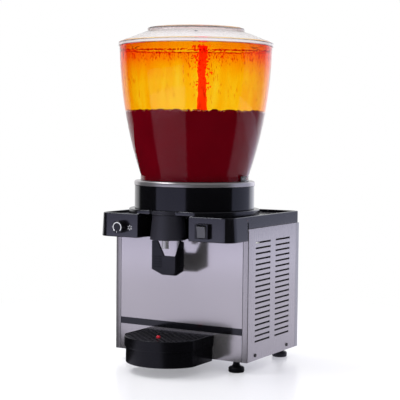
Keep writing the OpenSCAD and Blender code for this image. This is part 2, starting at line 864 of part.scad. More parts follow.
// Serpentine condenser tube through the fins
module condenser_tubes() {
  color("peru") union() {
    for (i = [0 : cond_tubes - 1])
      rod_y(cond_mid, cond_front - 6, cond_front + cond_length + 6,
            z_cond + (i + 0.5) * cond_pitch, pipe_radius - 0.05);
    for (i = [0 : cond_tubes - 2])
      translate([cond_mid, i % 2 == 0 ? cond_front - 6 : cond_front + cond_length + 6,
                 z_cond + (i + 1) * cond_pitch])
        rotate([0, 90, 0]) rotate([0, 0, i % 2 == 0 ? 180 : 0]) rotate_extrude(angle = 180)
          translate([cond_pitch / 2, 0]) circle(r = pipe_radius - 0.05);
  }
}

// Shroud that leads the air from the condenser to the fan, with the motor arms
module fan_shroud() {
  color("#2a2a2a") difference() {
    union() {
      difference() {
        block([shroud_x, cond_front, z_cond], [cond_x, cond_front + cond_length, z_cond + cond_height]);
        block([shroud_x + 3, cond_front + 3, z_cond + 3],
              [cond_x + 1, cond_front + cond_length - 3, z_cond + cond_height - 3]);
        rod_x(shroud_x - 1, shroud_x + 4, vent_y, fan_z, fan_radius + 3);
      }
      for (i = [0 : 2]) translate([shroud_x, vent_y, fan_z]) rotate([i * 120, 0, 0])
        block([0, -4, 0], [3, 4, fan_radius + 6]);
      rod_x(shroud_x, shroud_x + 3, vent_y, fan_z, fan_motor_radius - 4);
    }
    rod_x(shroud_x - 1, shroud_x + 4, vent_y, fan_z, shaft_radius + 2);
  }
}

// Fan motor behind the arms
module fan_motor() {
  color("dimgray") difference() {
    rod_x(shroud_x - fan_motor_length, shroud_x, vent_y, fan_z, fan_motor_radius);
    rod_x(shroud_x - 18, shroud_x + 1, vent_y, fan_z, axle_radius + run_fit);
  }
}

// Fan rotor: shaft, hub and five pitched blades
module fan_rotor() {
  color("#d8d8d8") union() {
    rod_x(shroud_x - 16, shroud_x + 20, vent_y, fan_z, axle_radius);
    rod_x(shroud_x + 6, shroud_x + 24, vent_y, fan_z, hub_radius);
    for (i = [0 : 4]) translate([shroud_x + 15, vent_y, fan_z]) rotate([i * 72, 0, 0])
      translate([0, 0, hub_radius - 3]) rotate([0, 0, 28])
        block([-0.8, -16, 0], [0.8, 16, fan_radius - hub_radius]);
  }
}

// Hot gas pipe from the compressor to the condenser
module discharge_pipe() {
  color("peru") pipe_run([
    [comp_x + 25, comp_y, z_comp_top + 10], [comp_x + 25, comp_y, z_discharge],
    [comp_x + 25, cond_front + cond_length + 30, z_discharge],
    [cond_mid, cond_front + cond_length + 30, z_discharge],
    [cond_mid, cond_front + cond_length + 30, z_cond + (cond_tubes - 0.5) * cond_pitch],
    [cond_mid, cond_front + cond_length + 6, z_cond + (cond_tubes - 0.5) * cond_pitch]
  ], pipe_radius);
}

// Return pipe from the evaporator to the compressor
module suction_pipe() {
  color("peru") pipe_run([
    [coil_radius, 0, z_coil_ends], [coil_radius, 0, z_suction],
    [coil_radius, comp_y + 30, z_suction], [comp_x - 25, comp_y + 30, z_suction],
    [comp_x - 25, comp_y + 30, z_comp_top + 40], [comp_x - 25, comp_y, z_comp_top + 40],
    [comp_x - 25, comp_y, z_comp_top + 10]
  ], pipe_radius - 0.3);
}

// Drier in the liquid line, joined to the lowest condenser tube
module filter_drier() {
  z_out = z_cond + 0.5 * cond_pitch;
  color("peru") union() {
    pipe_run([
      [cond_mid, cond_front + cond_length + 6, z_out], [cond_mid, drier_y, z_out],
      [drier_x, drier_y, z_out], [drier_x, drier_y, z_drier + 1]
    ], pipe_radius - 1);
    translate([drier_x, drier_y, z_drier]) cylinder(r = drier_radius, h = drier_length);
  }
}

// Thin capillary from the drier up to the evaporator
module capillary_tube() {
  inner = coil_radius - 2.6 * coil_wire;
  end_x = round(inner * cos(198) * 10) / 10;
  end_y = round(inner * sin(198) * 10) / 10;
  z_run = z_suction - 24;
  color("peru") pipe_run([
    [drier_x, drier_y, z_drier + drier_length], [drier_x, drier_y, z_run],
    [drier_x, end_y, z_run], [end_x, end_y, z_run], [end_x, end_y, z_coil_ends]
  ], 1.6);
}

// Thermostat behind the left of the nose
module thermostat_body() {
  back = y_nose + tray_wall;
  color("#d0d0c8") difference() {
    union() {
      block([-knob_offset - thermo_half, back, z_control - 14],
            [-knob_offset + thermo_half, back + thermo_depth, z_control + 14]);
      rod_y(-knob_offset, y_nose - 0.2, back + 1, z_control, 5.8);
    }
    rod_y(-knob_offset, y_nose - 1, back + 16, z_control, spindle_radius + run_fit);
  }
}

// Round thermostat knob with a grip ridge and its spindle
module thermostat_knob() {
  back = y_nose - slide_gap;
  color("#131315") union() {
    rod_y(-knob_offset, back - knob_length, back, z_control, knob_radius - 1);
    rod_y(-knob_offset, back - knob_length + 1, back - 3, z_control, knob_radius);
    rod_y(-knob_offset, back - 1, y_nose + tray_wall + 14, z_control, spindle_radius);
    block([-knob_offset - 1.2, back - knob_length - 0.8, z_control + 2],
          [-knob_offset + 1.2, back - knob_length + 1, z_control + knob_radius - 2]);
  }
}

// Switch housing: bezel on the nose and body behind it
module switch_body() {
  back = y_nose + tray_wall;
  color("#0d0d0f") difference() {
    union() {
      block([switch_offset - switch_width / 2, y_nose - bezel_depth, z_control - switch_height / 2],
            [switch_offset + switch_width / 2, y_nose, z_control + switch_height / 2]);
      block([switch_offset - switch_width / 2 + 2.3, y_nose - 1, z_control - switch_height / 2 + 2.3],
            [switch_offset + switch_width / 2 - 2.3, back + 18, z_control + switch_height / 2 - 2.3]);
    }
    block([switch_offset - paddle_half - slide_gap, y_nose - bezel_depth - 1, z_control - 12.8],
          [switch_offset + paddle_half + slide_gap, y_nose + 5, z_control + 12.8]);
    rod_x(switch_offset - paddle_half - 2.5, switch_offset + paddle_half + 2.5, rocker_y, z_control,
          rocker_pin + run_fit);
  }
}

// Rocker paddle on its two trunnions, drawn in its resting tilt
module switch_rocker() {
  color("#8f9096") translate([switch_offset, rocker_y, z_control]) rotate([rocker_throw / 2, 0, 0]) union() {
    rotate([90, 0, 90]) translate([0, 0, -paddle_half]) linear_extrude(2 * paddle_half)
      polygon([
        [-8.4, -paddle_rise], [-7, 0], [-8.4, paddle_rise], [-4.5, paddle_rise],
        [3.5, 3], [3.5, -3], [-4.5, -paddle_rise]
      ]);
    rod_x(-paddle_half - 2, paddle_half + 2, 0, 0, rocker_pin);
  }
}

// Cable entry through the rear panel
module mains_gland() {
  color("#111111") difference() {
    union() {
      rod_y(gland_x, y_back, y_back + gland_flange, z_gland, gland_radius);
      rod_y(gland_x, y_back, y_back + gland_proud, z_gland, gland_neck);
      rod_y(gland_x, y_back - sheet - 12, y_back + 1, z_gland, gland_neck - 0.1);
      rod_y(gland_x, y_back - sheet - 5, y_back - sheet, z_gland, gland_radius);
    }
    rod_y(gland_x, y_back - 30, y_back + gland_proud + 1, z_gland, gland_bore);
  }
}

// Box for the mains joints on the base pan
module junction_box() {
  color("#e0ddd0") block([10, y_back - sheet - 40, z_pan_top], [75, y_back - sheet - 4, z_pan_top + 38]);
}

// Tap body: inlet from the bowl, valve chamber and the ears for the lever pin
module tap_body() {
  color("#e6e6e6") difference() {
    union() {
      translate([0, tap_y, z_valve]) cylinder(r = valve_radius, h = z_valve_top - z_valve);
      translate([0, spigot_y, z_valve + 2]) cylinder(r = inlet_radius, h = z_shelf - z_valve - 2);
      translate([0, spigot_y, z_shelf - 4]) cylinder(r = inlet_radius + 6, h = 4);
      block([-ear_out, pivot_y - 5, z_chamber], [ear_out, pivot_y + 5, z_valve_top - 2]);
      block([-inlet_radius + 1, tap_y, z_chamber - 3], [inlet_radius - 1, spigot_y, z_chamber_top + 3]);
      for (s = [0, 1]) mirror([s, 0, 0]) {
        block([ear_in, pivot_y - 5, z_chamber], [ear_out, pivot_y + 5, pivot_z]);
        rod_x(ear_in, ear_out, pivot_y, pivot_z, 5);
      }
    }
    translate([0, tap_y, z_chamber]) cylinder(r = valve_bore, h = z_chamber_top - z_chamber);
    translate([0, tap_y, z_chamber - 5]) cylinder(r = 4, h = 6);
    translate([0, tap_y, z_chamber]) cylinder(r = stem_radius + run_fit, h = 30);
    translate([0, tap_y, z_valve - 1]) cylinder(r = nozzle_radius, h = z_seat_face - z_valve + 1);
    translate([0, spigot_y, z_inlet_floor]) cylinder(r = inlet_bore, h = z_shelf - z_inlet_floor + 1);
    rod_y(0, tap_y, spigot_y, z_inlet_floor + 5.5, 5);
    rod_x(-ear_out - 1, -ear_in + 1, pivot_y, pivot_z, pin_radius);
    rod_x(ear_in - 1, ear_out + 1, pivot_y, pivot_z, pin_radius);
  }
}

// Steel spout under the tap
module nozzle() {
  color("silver") translate([0, tap_y, z_cover - nozzle_drop])
    ring(nozzle_radius, nozzle_radius - nozzle_wall, nozzle_drop + z_seat_face - z_cover);
}

// Valve stem with its push button
module valve_stem() {
  color("lightgray") translate([0, tap_y, 0]) union() {
    translate([0, 0, z_seat_face - face_gap - 4])
      cylinder(r = stem_radius, h = z_button - z_seat_face + face_gap + 4);
    translate([0, 0, z_button_under]) cylinder(r = button_radius, h = button_plate);
  }
}

// Rubber face that closes the valve from below
module valve_seal() {
  color("#2b2b2b") translate([0, tap_y, z_seat_face - face_gap - 4])
    ring(nozzle_radius - nozzle_wall - 0.6, stem_radius, 4);
}

// Spring that lifts the stem and closes the valve
module valve_spring() {
  low = z_valve_top + spring_wire + 0.05;
  high = z_button_under - spring_wire - 0.05;
  turns = 5;
  steps = 14;
  path = [for (i = [0 : turns * steps])
    [spring_radius, i * 360 / steps, low + (high - low) * i / (turns * steps)]];
  color("silver") translate([0, tap_y, 0]) wire_path(path, spring_wire, 6);
}

// Push lever: arms and cross pad inside the cover, folded plate below with a window
module tap_lever() {
  depth = lever_plate;
  color("#121214") difference() {
    union() {
      intersection() {
        translate([0, 0, z_lever]) linear_extrude(z_cover + 12 - z_lever) polygon([
          [-lever_half, wing_front], [-lever_fold, lever_front],
          [lever_fold, lever_front], [lever_half, wing_front],
          [lever_half, wing_front + depth], [lever_fold, lever_front + depth],
          [-lever_fold, lever_front + depth], [-lever_half, wing_front + depth]
        ]);
        translate([0, lever_front + 20, 0]) rotate([90, 0, 0]) linear_extrude(60) difference() {
          polygon([
            [-lever_half, z_wing], [-lever_fold - 2, z_lever],
            [lever_fold + 2, z_lever], [lever_half, z_wing],
            [lever_half, z_lever_top], [web_out, z_lever_top + 1], [web_out, z_cover + 10],
            [-web_out, z_cover + 10], [-web_out, z_lever_top + 1], [-lever_half, z_lever_top]
          ]);
          polygon([
            [-window_low, z_window], [window_low, z_window], [window_top, z_cover - 2],
            [arm_in, z_cover - 2], [arm_in, z_cover + 20], [-arm_in, z_cover + 20],
            [-arm_in, z_cover - 2], [-window_top, z_cover - 2]
          ]);
        }
      }
      for (s = [0, 1]) mirror([s, 0, 0]) {
        block([arm_in, pivot_y - 4.5, z_cover], [arm_out, pivot_y + 6, pivot_z]);
        rod_x(arm_in, arm_out, pivot_y, pivot_z, 4.5);
        block([arm_in, tap_y - pad_radius, pivot_z - 1], [arm_out, pivot_y, pivot_z + 4]);
      }
      rod_x(-arm_out, arm_out, tap_y, pivot_z + pad_radius, pad_radius);
    }
    rod_x(-arm_out - 1, -arm_in + 1, pivot_y, pivot_z, pin_radius + run_fit);
    rod_x(arm_in - 1, arm_out + 1, pivot_y, pivot_z, pin_radius + run_fit);
  }
}

// Pivot pins of the lever, one through each ear
module lever_pin() {
  color("silver") for (s = [0, 1]) mirror([s, 0, 0])
    rod_x(ear_in, arm_out + 0.5, pivot_y, pivot_z, pin_radius);
}

// Profile of the bowl body within the arc of a given radius
module bowl_arc(radius, low, high) {
  intersection() {
    translate([arc_r, arc_z]) circle(r = radius, $fn = 360);
    translate([hub_bore, low]) square([bowl_radius, high - low]);
  }
}

// Clear bowl with a floor hub for the drum and an outlet spigot
module bowl() {
  color("lightblue", 0.3) difference() {
    union() {
      rotate_extrude() difference() {
        union() {
          bowl_arc(arc_radius, z_seat, z_mouth);
          translate([hub_bore, z_seat]) square([neck_radius + bead - hub_bore, neck_height]);
          translate([hub_bore, z_shoulder]) square([bowl_radius + bead - hub_bore, mouth_height]);
          translate([hub_bore, z_hub]) square([hub_outer - hub_bore, z_seat - z_hub + 1]);
        }
        bowl_arc(arc_radius - bowl_wall, z_floor, z_mouth + 1);
      }
      translate([0, spigot_y, z_spigot]) cylinder(r = spigot_radius, h = z_floor - z_spigot - 1);
    }
    translate([0, spigot_y, z_spigot - 1]) cylinder(r = spigot_bore, h = z_floor - z_spigot + 2);
  }
}

// Drink in the bowl, open round the drum, pump and riser
module drink() {
  gap = 0.3;
  clear = 0.6;
  color("#5a0014") difference() {
    rotate_extrude() union() {
      bowl_arc(arc_radius - bowl_wall - gap, z_floor, z_level);
      translate([0, z_floor]) square([hub_bore + 1, z_level - z_floor]);
    }
    translate([0, 0, z_drum - 1]) cylinder(r = drum_radius + clear, h = drum_height + 1 + clear);
    translate([0, 0, z_drum_top - 1]) cylinder(r = pump_radius + clear, h = pump_height + 1 + clear);
    translate([spray_offset, 0, z_pump - 1])
      cylinder(r = spray_bore + spray_wall + clear, h = z_spray - z_pump + 2);
  }
}

// Clear lid: rim band, cone and a raised flat top
module lid() {
  rim = bowl_radius + lid_overhang;
  low = z_mouth - 2;
  band = low + lid_rim;
  top = band + lid_rise;
  wall = lid_wall;
  color("lightblue", 0.3) rotate_extrude() polygon([
    [rim, low], [rim, band], [rim - 3, band + 1.5], [lid_plateau + 1.5, top - 6.5], [lid_plateau, top - 5],
    [lid_plateau, top], [lid_plateau - 4, top], [lid_plateau - 5, top - 1.5], [0, top - 1.5],
    [0, top - 1.5 - wall], [lid_plateau - wall - 1, top - 1.5 - wall], [lid_plateau - wall, top - 7.5],
    [bowl_radius - bowl_wall - 5, band - 1], [bowl_radius - bowl_wall - 5, low - 5],
    [bowl_radius - bowl_wall - 2, low - 5], [bowl_radius - bowl_wall - 1.5, z_mouth],
    [rim - 1.7, z_mouth], [rim - 1.7, low]
  ]);
}

// Plan outline of the drip tray, drawn in by an inset and with a chosen back edge
module drip_outline(inset, back) {
  half = drip_half - inset;
  translate([-half, drip_centre]) square([2 * half, back - drip_centre]);
  intersection() {
    translate([0, drip_centre]) circle(r = drip_bow - inset);
    translate([-half, drip_front - 1]) square([2 * half, drip_bow + 1.5]);
  }
}

// Drip tray hung on two studs by slots in its thick rear wall
module drip_tray() {
  inner_back = drip_back - drip_rear_wall;
  color("#121214") difference() {
    union() {
      translate([0, 0, z_drip]) linear_extrude(drip_height - drip_band + 1)
        drip_outline(drip_inset, drip_back);
      translate([0, 0, z_drip_top - drip_band]) linear_extrude(drip_band) drip_outline(0, drip_back);
    }
    translate([0, 0, z_drip + drip_wall]) linear_extrude(drip_height)
      drip_outline(drip_inset + drip_wall, inner_back);
    translate([0, 0, z_grille]) linear_extrude(drip_height) drip_outline(drip_wall, inner_back + ledge);
    for (x = [-hook_x, hook_x]) {
      block([x - hook_shank - slide_gap, drip_back - hook_neck, z_drip - 1],
            [x + hook_shank + slide_gap, drip_back + 1, z_hook]);
      rod_y(x, drip_back - hook_neck, drip_back + 1, z_hook, hook_shank + slide_gap);
      block([x - hook_head - slide_gap, drip_back - hook_neck - hook_plate, z_drip - 1],
            [x + hook_head + slide_gap, drip_back - hook_neck + slide_gap, z_hook]);
      rod_y(x, drip_back - hook_neck - hook_plate, drip_back - hook_neck + slide_gap, z_hook,
            hook_head + slide_gap);
    }
  }
}

// Lift-out grille over the drip tray
module drip_grille() {
  inset = drip_wall + slide_gap;
  back = drip_back - drip_rear_wall + ledge - slide_gap;
  rows = 8;
  columns = 17;
  color("#161618") translate([0, 0, z_grille]) linear_extrude(grille_plate) difference() {
    drip_outline(inset, back);
    intersection() {
      drip_outline(inset + 5, back - 5);
      for (i = [0 : columns - 1], j = [0 : rows - 1])
        translate([(i - (columns - 1) / 2) * 8.6 - 2, back - 10 - j * 15.6 - (i % 2) * 6 - 5])
          square([4, 9.5]);
    }
    translate([0, float_y]) circle(r = float_stem + 0.6);
  }
}

// Red float that shows when the tray is full
module tray_float() {
  low = z_drip + drip_wall + 0.3;
  color("red") translate([0, float_y, low]) union() {
    cylinder(r = float_disc, h = 9);
    cylinder(r = float_stem, h = z_drip_top - low);
    translate([0, 0, z_drip_top - low]) sphere(r = float_stem);
  }
}

// Headed studs on the front panel that carry the drip tray
module tray_studs() {
  color("silver") for (x = [-hook_x, hook_x]) {
    rod_y(x, drip_back - hook_neck, y_front + sheet + 2, z_hook, hook_shank - 0.05);
    rod_y(x, drip_back - hook_neck - hook_plate + 2 * slide_gap, drip_back - hook_neck, z_hook, hook_head);
    rod_y(x, y_front + sheet, y_front + sheet + 3, z_hook, hook_head);
  }
}

// One screw foot: pad, tapered neck and stud
module foot(x, y) {
  color("#1a1a1c") translate([x, y, 0]) rotate_extrude() polygon([
    [0, 0], [foot_radius - 1.5, 0], [foot_radius, 1.5], [foot_radius, 9], [foot_radius - 2, 11], [9, 13],
    [7, 17], [7, z_foot_top], [stud_radius, z_foot_top],
    [stud_radius, z_pan_top + nut_height + 5], [0, z_pan_top + nut_height + 5]
  ]);
}

module foot_front_left() {
  foot(-foot_x, foot_y_front);
}

module foot_front_right() {
  foot(foot_x, foot_y_front);
}

module foot_rear_left() {
  foot(-foot_x, foot_y_rear);
}

module foot_rear_right() {
  foot(foot_x, foot_y_rear);
}

// Threaded nuts on the base pan for the feet
module foot_nuts() {
  color("silver") for (x = [-foot_x, foot_x], y = [foot_y_front, foot_y_rear])
    translate([x, y, z_pan_top]) difference() {
      cylinder(r = stud_radius + 4, h = nut_height, $fn = 6);
      translate([0, 0, -1]) cylinder(r = stud_radius + run_fit, h = nut_height + 2);
    }
}

// Slotted screws that hold the side panels to the base pan
module panel_screws() {
  color("gray") for (s = [0, 1], y = screw_y) mirror([s, 0, 0]) difference() {
    union() {
      rod_x(half, half + 1.6, y, z_screw, 3.6);
      rod_x(pan_half - pan_sheet - 2, half + 1, y, z_screw, 1.55);
    }
    block([half + 0.8, y - 0.6, z_screw - 4], [half + 2, y + 0.6, z_screw + 4]);
  }
}

base_pan();
front_panel();
left_side_panel();
right_side_panel();
rear_panel();
front_band();
top_tray();
tap_cover();
collar();
seat_ring();
bowl_clips();
bowl_gasket();
collar_foam();
cold_drum();
evaporator_coil();
motor_bracket();
pump_motor();
drive_magnet();
impeller();
pump_housing();
spray_tube();
compressor();
compressor_grommets();
condenser_fins();
condenser_tubes();
fan_shroud();
fan_motor();
fan_rotor();
discharge_pipe();
suction_pipe();
filter_drier();
capillary_tube();
thermostat_body();
thermostat_knob();
switch_body();
switch_rocker();
mains_gland();
junction_box();
tap_body();
nozzle();
valve_stem();
valve_seal();
valve_spring();
tap_lever();
lever_pin();
bowl();
drink();
lid();
drip_tray();
drip_grille();
tray_float();
tray_studs();
foot_front_left();
foot_front_right();
foot_rear_left();
foot_rear_right();
foot_nuts();
panel_screws();
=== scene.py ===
"""Looks of a cold drink dispenser: a clear bowl of drink on a steel cabinet with a lever tap."""

import random
from math import atan2, copysign, cos, exp, hypot, pi, radians, sin, sqrt

import bmesh
import bpy
from bpy.props import FloatProperty, FloatVectorProperty, IntProperty, PointerProperty
from mathutils import Matrix, Vector, noise


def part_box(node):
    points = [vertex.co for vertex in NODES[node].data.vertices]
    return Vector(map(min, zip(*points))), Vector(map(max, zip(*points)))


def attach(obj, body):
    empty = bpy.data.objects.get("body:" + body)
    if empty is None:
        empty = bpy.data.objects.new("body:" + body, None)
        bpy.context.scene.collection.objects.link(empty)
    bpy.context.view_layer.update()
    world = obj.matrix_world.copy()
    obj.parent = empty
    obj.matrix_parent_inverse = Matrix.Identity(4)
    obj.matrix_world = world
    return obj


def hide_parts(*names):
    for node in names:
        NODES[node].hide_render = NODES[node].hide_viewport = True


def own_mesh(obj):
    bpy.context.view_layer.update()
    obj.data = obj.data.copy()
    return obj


bl_info = {
    "name": "Cold drink dispenser",
    "version": (1, 0, 0),
    "blender": (4, 5, 0),
    "location": "View3D > Sidebar > Dispenser",
    "description": "Models and paints a refrigerated drink dispenser on its packed frame",
    "category": "Object",
}

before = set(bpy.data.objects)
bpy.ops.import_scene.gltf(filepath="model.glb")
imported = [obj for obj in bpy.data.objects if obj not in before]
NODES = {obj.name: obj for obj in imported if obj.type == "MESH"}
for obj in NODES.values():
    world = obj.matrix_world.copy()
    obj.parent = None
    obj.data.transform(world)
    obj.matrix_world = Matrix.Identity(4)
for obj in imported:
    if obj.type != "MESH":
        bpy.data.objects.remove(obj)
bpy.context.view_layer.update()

# The bowl: the neck and shoulder of its wall, the swell between them, its thickness and its floor
NECK = (0.114, 0.399)
SHOULDER = (0.160, 0.663)
SWELL = 0.0099
BOWL_WALL = 0.003
BOWL_FLOOR = 0.393

# The lid: the radius of its flat top, how far below the top its band and its seat lie, and its wall
LID_FLAT = 0.1017
LID_BAND = 0.030
LID_SEAT = 0.036
LID_WALL = 0.003

# The cold drum and the pump, which stand in the drink
DRUM_RADIUS = 0.0586
DRUM_TOP = 0.4626
PUMP_RADIUS = 0.0346
PUMP_TOP = 0.4806

# The jet and the film on the wall, which stays thin where it comes close to the lid
JET_X = 0.016
JET_TOP = 0.672
FILM_TOP = 0.6705
FILM_THIN_FROM = 0.6685
FILM_THIN = 0.0006

# The top moulding, whose long sides lean in between its foot and its rim
Y_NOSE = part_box("top_tray")[0].y
TRAY_RIM = 0.3215
TRAY_SIDE = 0.148
TRAY_LEAN = 0.003

# The front of the cabinet and the controls on the nose
Y_FRONT = -0.056
KNOB_LOW, KNOB_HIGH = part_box("thermostat_knob")
KNOB_X = -0.101
Z_CONTROL = 0.2935
PRINT = 0.0003

# Angles of the softboxes round the dispenser, in degrees from straight ahead
LEFT_LAMP = -15.5
RIGHT_LAMP = 147.0

# Radius at the pole of a turned profile, and the radius within which its points are merged
POLE = 0.0001
POLE_REACH = 0.00025

WHITE = (1.0, 1.0, 1.0, 1.0)
COLOUR = {"subtype": "COLOR", "size": 4, "min": 0.0, "max": 1.0}
LENGTH = {"subtype": "DISTANCE", "unit": "LENGTH"}


class StageSettings(bpy.types.PropertyGroup):
    """Camera, lamps and room."""

    camera_place: FloatVectorProperty(
        name="Camera place", description="Where the camera stands", default=(1.24656, -2.13360, 0.49222),
        subtype="TRANSLATION", unit="LENGTH",
    )
    camera_turn: FloatProperty(
        name="Camera turn", description="Angle of the camera round the dispenser, from straight ahead",
        default=radians(30.022), subtype="ANGLE",
    )
    camera_dip: FloatProperty(
        name="Camera dip", description="How far the camera looks down",
        default=radians(3.362), subtype="ANGLE",
    )
    camera_roll: FloatProperty(
        name="Camera roll", description="How far the picture leans to the right",
        default=radians(0.5844), subtype="ANGLE",
    )
    lens: FloatProperty(
        name="Lens", description="Focal length in millimetres on a 36 mm frame",
        default=105.11, min=20.0, max=300.0,
    )
    left_box: FloatProperty(
        name="Left softbox", description="Brightness of the softbox at the front left", default=0.6, min=0.0
    )
    right_box: FloatProperty(
        name="Right softbox", description="Brightness of the softbox at the rear right", default=0.5, min=0.0
    )
    top_strip: FloatProperty(
        name="Top strip", description="Brightness of the strip light overhead", default=8.0, min=0.0
    )
    room_light: FloatProperty(
        name="Room light", description="Even light from all round", default=0.75, min=0.0
    )


class FinishSettings(bpy.types.PropertyGroup):
    """Colours of the finishes."""

    steel: FloatVectorProperty(
        name="Steel", description="Colour of the brushed steel", default=(0.43, 0.412, 0.427, 1.0), **COLOUR
    )
    black: FloatVectorProperty(
        name="Black plastic", description="Colour of the moulded black plastic",
        default=(0.0022, 0.0021, 0.0028, 1.0), **COLOUR,
    )
    drink: FloatVectorProperty(
        name="Drink", description="Colour of the deep drink", default=(0.132, 0.0005, 0.005, 1.0), **COLOUR
    )
    jet: FloatVectorProperty(
        name="Jet", description="Colour of the jet of drink", default=(0.95, 0.036, 0.008, 1.0), **COLOUR
    )
    float_red: FloatVectorProperty(
        name="Float", description="Colour of the float in the drip tray",
        default=(0.62, 0.012, 0.03, 1.0), **COLOUR,
    )
    paddle: FloatVectorProperty(
        name="Switch paddle", description="Colour of the paddle of the switch",
        default=(0.075, 0.075, 0.084, 1.0), **COLOUR,
    )


class SizeSettings(bpy.types.PropertyGroup):
    """Sizes of what the scene adds."""

    edge: FloatProperty(
        name="Moulded edge", description="Width of the rounding on the edges of the mouldings",
        default=0.0012, min=0.0002, max=0.003, **LENGTH,
    )
    level: FloatProperty(
        name="Drink level", description="Height of the drink in the bowl",
        default=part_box("drink")[1].z, **LENGTH,
    )
    wave: FloatProperty(
        name="Waves", description="Height of the ripples on the drink",
        default=0.0034, min=0.0, max=0.005, **LENGTH,
    )
    film_thickness: FloatProperty(
        name="Film", description="Thickness of the film on the wall before it gathers in runs",
        default=0.0008, min=0.0003, max=0.002, **LENGTH,
    )
    splash_line: FloatProperty(
        name="Splash line", description="Least height of the thick line that the spray leaves on the wall",
        default=0.6533, **LENGTH,
    )
    splash_rise: FloatProperty(
        name="Splash rise", description="Height that the splash line gains towards the rear left",
        default=0.0157, min=0.0, max=0.017, **LENGTH,
    )
    jet_radius: FloatProperty(
        name="Jet", description="Radius of the jet of drink", default=0.0098, min=0.003, max=0.012, **LENGTH
    )
    round_steps: IntProperty(
        name="Round steps", description="Number of sides of a turned piece", default=144, min=32, max=256
    )


class Wire:
    """A shader socket that can stand in a Python sum."""

    def __init__(self, finish, socket):
        self.finish = finish
        self.socket = socket

    def maths(self, operation, first, second):
        """A Math node on two values."""
        return self.finish.node("ShaderNodeMath", {0: first, 1: second}, operation=operation)["Value"]

    def __add__(self, other):
        return self.maths("ADD", self, other)

    def __mul__(self, other):
        return self.maths("MULTIPLY", self, other)

    def __rsub__(self, other):
        return self.maths("SUBTRACT", other, self)

    __radd__ = __add__
    __rmul__ = __mul__

    def at_most(self, other):
        """The lesser of two values."""
        return self.maths("MINIMUM", self, other)

    def at_least(self, other):
        """The greater of two values."""
        return self.maths("MAXIMUM", self, other)


class Sockets:
    """The outputs of one node, by name or number."""

    def __init__(self, finish, node):
        self.finish = finish
        self.made = node

    def __getitem__(self, name):
        return Wire(self.finish, self.made.outputs[name])


class Finish:
    """A node tree that is being written: a material or the world."""

    def __init__(self, owner):
        owner.use_nodes = True
        self.owner = owner
        self.tree = owner.node_tree
        self.tree.nodes.clear()

    def node(self, kind, sockets=None, **settings):
        """One node of a kind, with its settings made first and then its sockets filled or linked."""
        made = self.tree.nodes.new(kind)
        for key, value in settings.items():
            setattr(made, key, value)
        for key, value in (sockets or {}).items():
            if isinstance(value, Wire):
                self.tree.links.new(value.socket, made.inputs[key])
            else:
                made.inputs[key].default_value = value
        return Sockets(self, made)

    def places(self, scale=(1.0, 1.0, 1.0)):
        """Object coordinates, stretched."""
        where = self.node("ShaderNodeTexCoord")["Object"]
        return self.node("ShaderNodeMapping", {"Vector": where, "Scale": scale})["Vector"]

    def grain(self, scale, detail, stretch=(1.0, 1.0, 1.0)):
        """Noise over the piece, from 0 to 1."""
        sockets = {"Vector": self.places(stretch), "Scale": scale, "Detail": detail}
        return self.node("ShaderNodeTexNoise", sockets)["Fac"]

    def ramp(self, factor, low, high):
        """A value that climbs smoothly from 0 to 1 between two limits."""
        sockets = {"Value": factor, "From Min": low, "From Max": high}
        return self.node("ShaderNodeMapRange", sockets, interpolation_type="SMOOTHSTEP")["Result"]

    def along(self, way, aim):
        """How far one direction points along another."""
        return self.node("ShaderNodeVectorMath", {0: way, 1: aim}, operation="DOT_PRODUCT")["Value"]

    def blend(self, factor, first, second):
        """A colour between two colours."""
        return self.node("ShaderNodeMix", {0: factor, 6: first, 7: second}, data_type="RGBA")[2]

    def bump(self, height, strength, distance):
        """A bumped normal."""
        sockets = {"Height": height, "Strength": strength, "Distance": distance}
        return self.node("ShaderNodeBump", sockets)["Normal"]

    def surface(self, **sockets):
        """The main shader, with words for its sockets."""
        named = {key.replace("_", " "): value for key, value in sockets.items()}
        return self.node("ShaderNodeBsdfPrincipled", named)["BSDF"]

    def glow(self, colour, strength):
        """A shader that gives light."""
        return self.node("ShaderNodeEmission", {"Color": colour, "Strength": strength})["Emission"]

    def see_through(self, colour):
        """A shader that light passes straight through."""
        return self.node("ShaderNodeBsdfTransparent", {"Color": colour})["BSDF"]

    def mix(self, factor, first, second):
        """A shader between two shaders."""
        return self.node("ShaderNodeMixShader", {0: factor, 1: first, 2: second})["Shader"]

    def open_to_lamps(self, shader, colour):
        """A shader that casts only a tinted shadow."""
        lamp = self.node("ShaderNodeLightPath")["Is Shadow Ray"]
        return self.mix(lamp, shader, self.see_through(colour))

    def close(self, shader, inside=None):
        """Leads the shader to the output."""
        sockets = {"Surface": shader}
        if inside is not None:
            sockets["Volume"] = inside
        if isinstance(self.owner, bpy.types.World):
            self.node("ShaderNodeOutputWorld", sockets)
        else:
            self.node("ShaderNodeOutputMaterial", sockets)
        return self.owner


def new_finish(name):
    """A finish on a new material."""
    return Finish(bpy.data.materials.new(name))


def shade(colour, factor):
    """A colour made darker or lighter."""
    return (colour[0] * factor, colour[1] * factor, colour[2] * factor, 1.0)


def brushed_steel(name, colour, axis, dull):
    """Brushed sheet: fine lines along one axis, with cloudy patches."""
    finish = new_finish(name)
    stretch = [2600.0, 2600.0, 2600.0]
    stretch[axis] = 20.0
    lines = finish.grain(1.0, 2.0, stretch)
    clouds = finish.grain(7.0, 3.0)
    shader = finish.surface(
        Base_Color=finish.blend(clouds, shade(colour, 0.95), shade(colour, 1.05)),
        Metallic=0.84,
        Roughness=dull + 0.07 * lines + 0.08 * clouds,
        Normal=finish.bump(lines, 0.025, 0.0001),
    )
    return finish.close(shader)


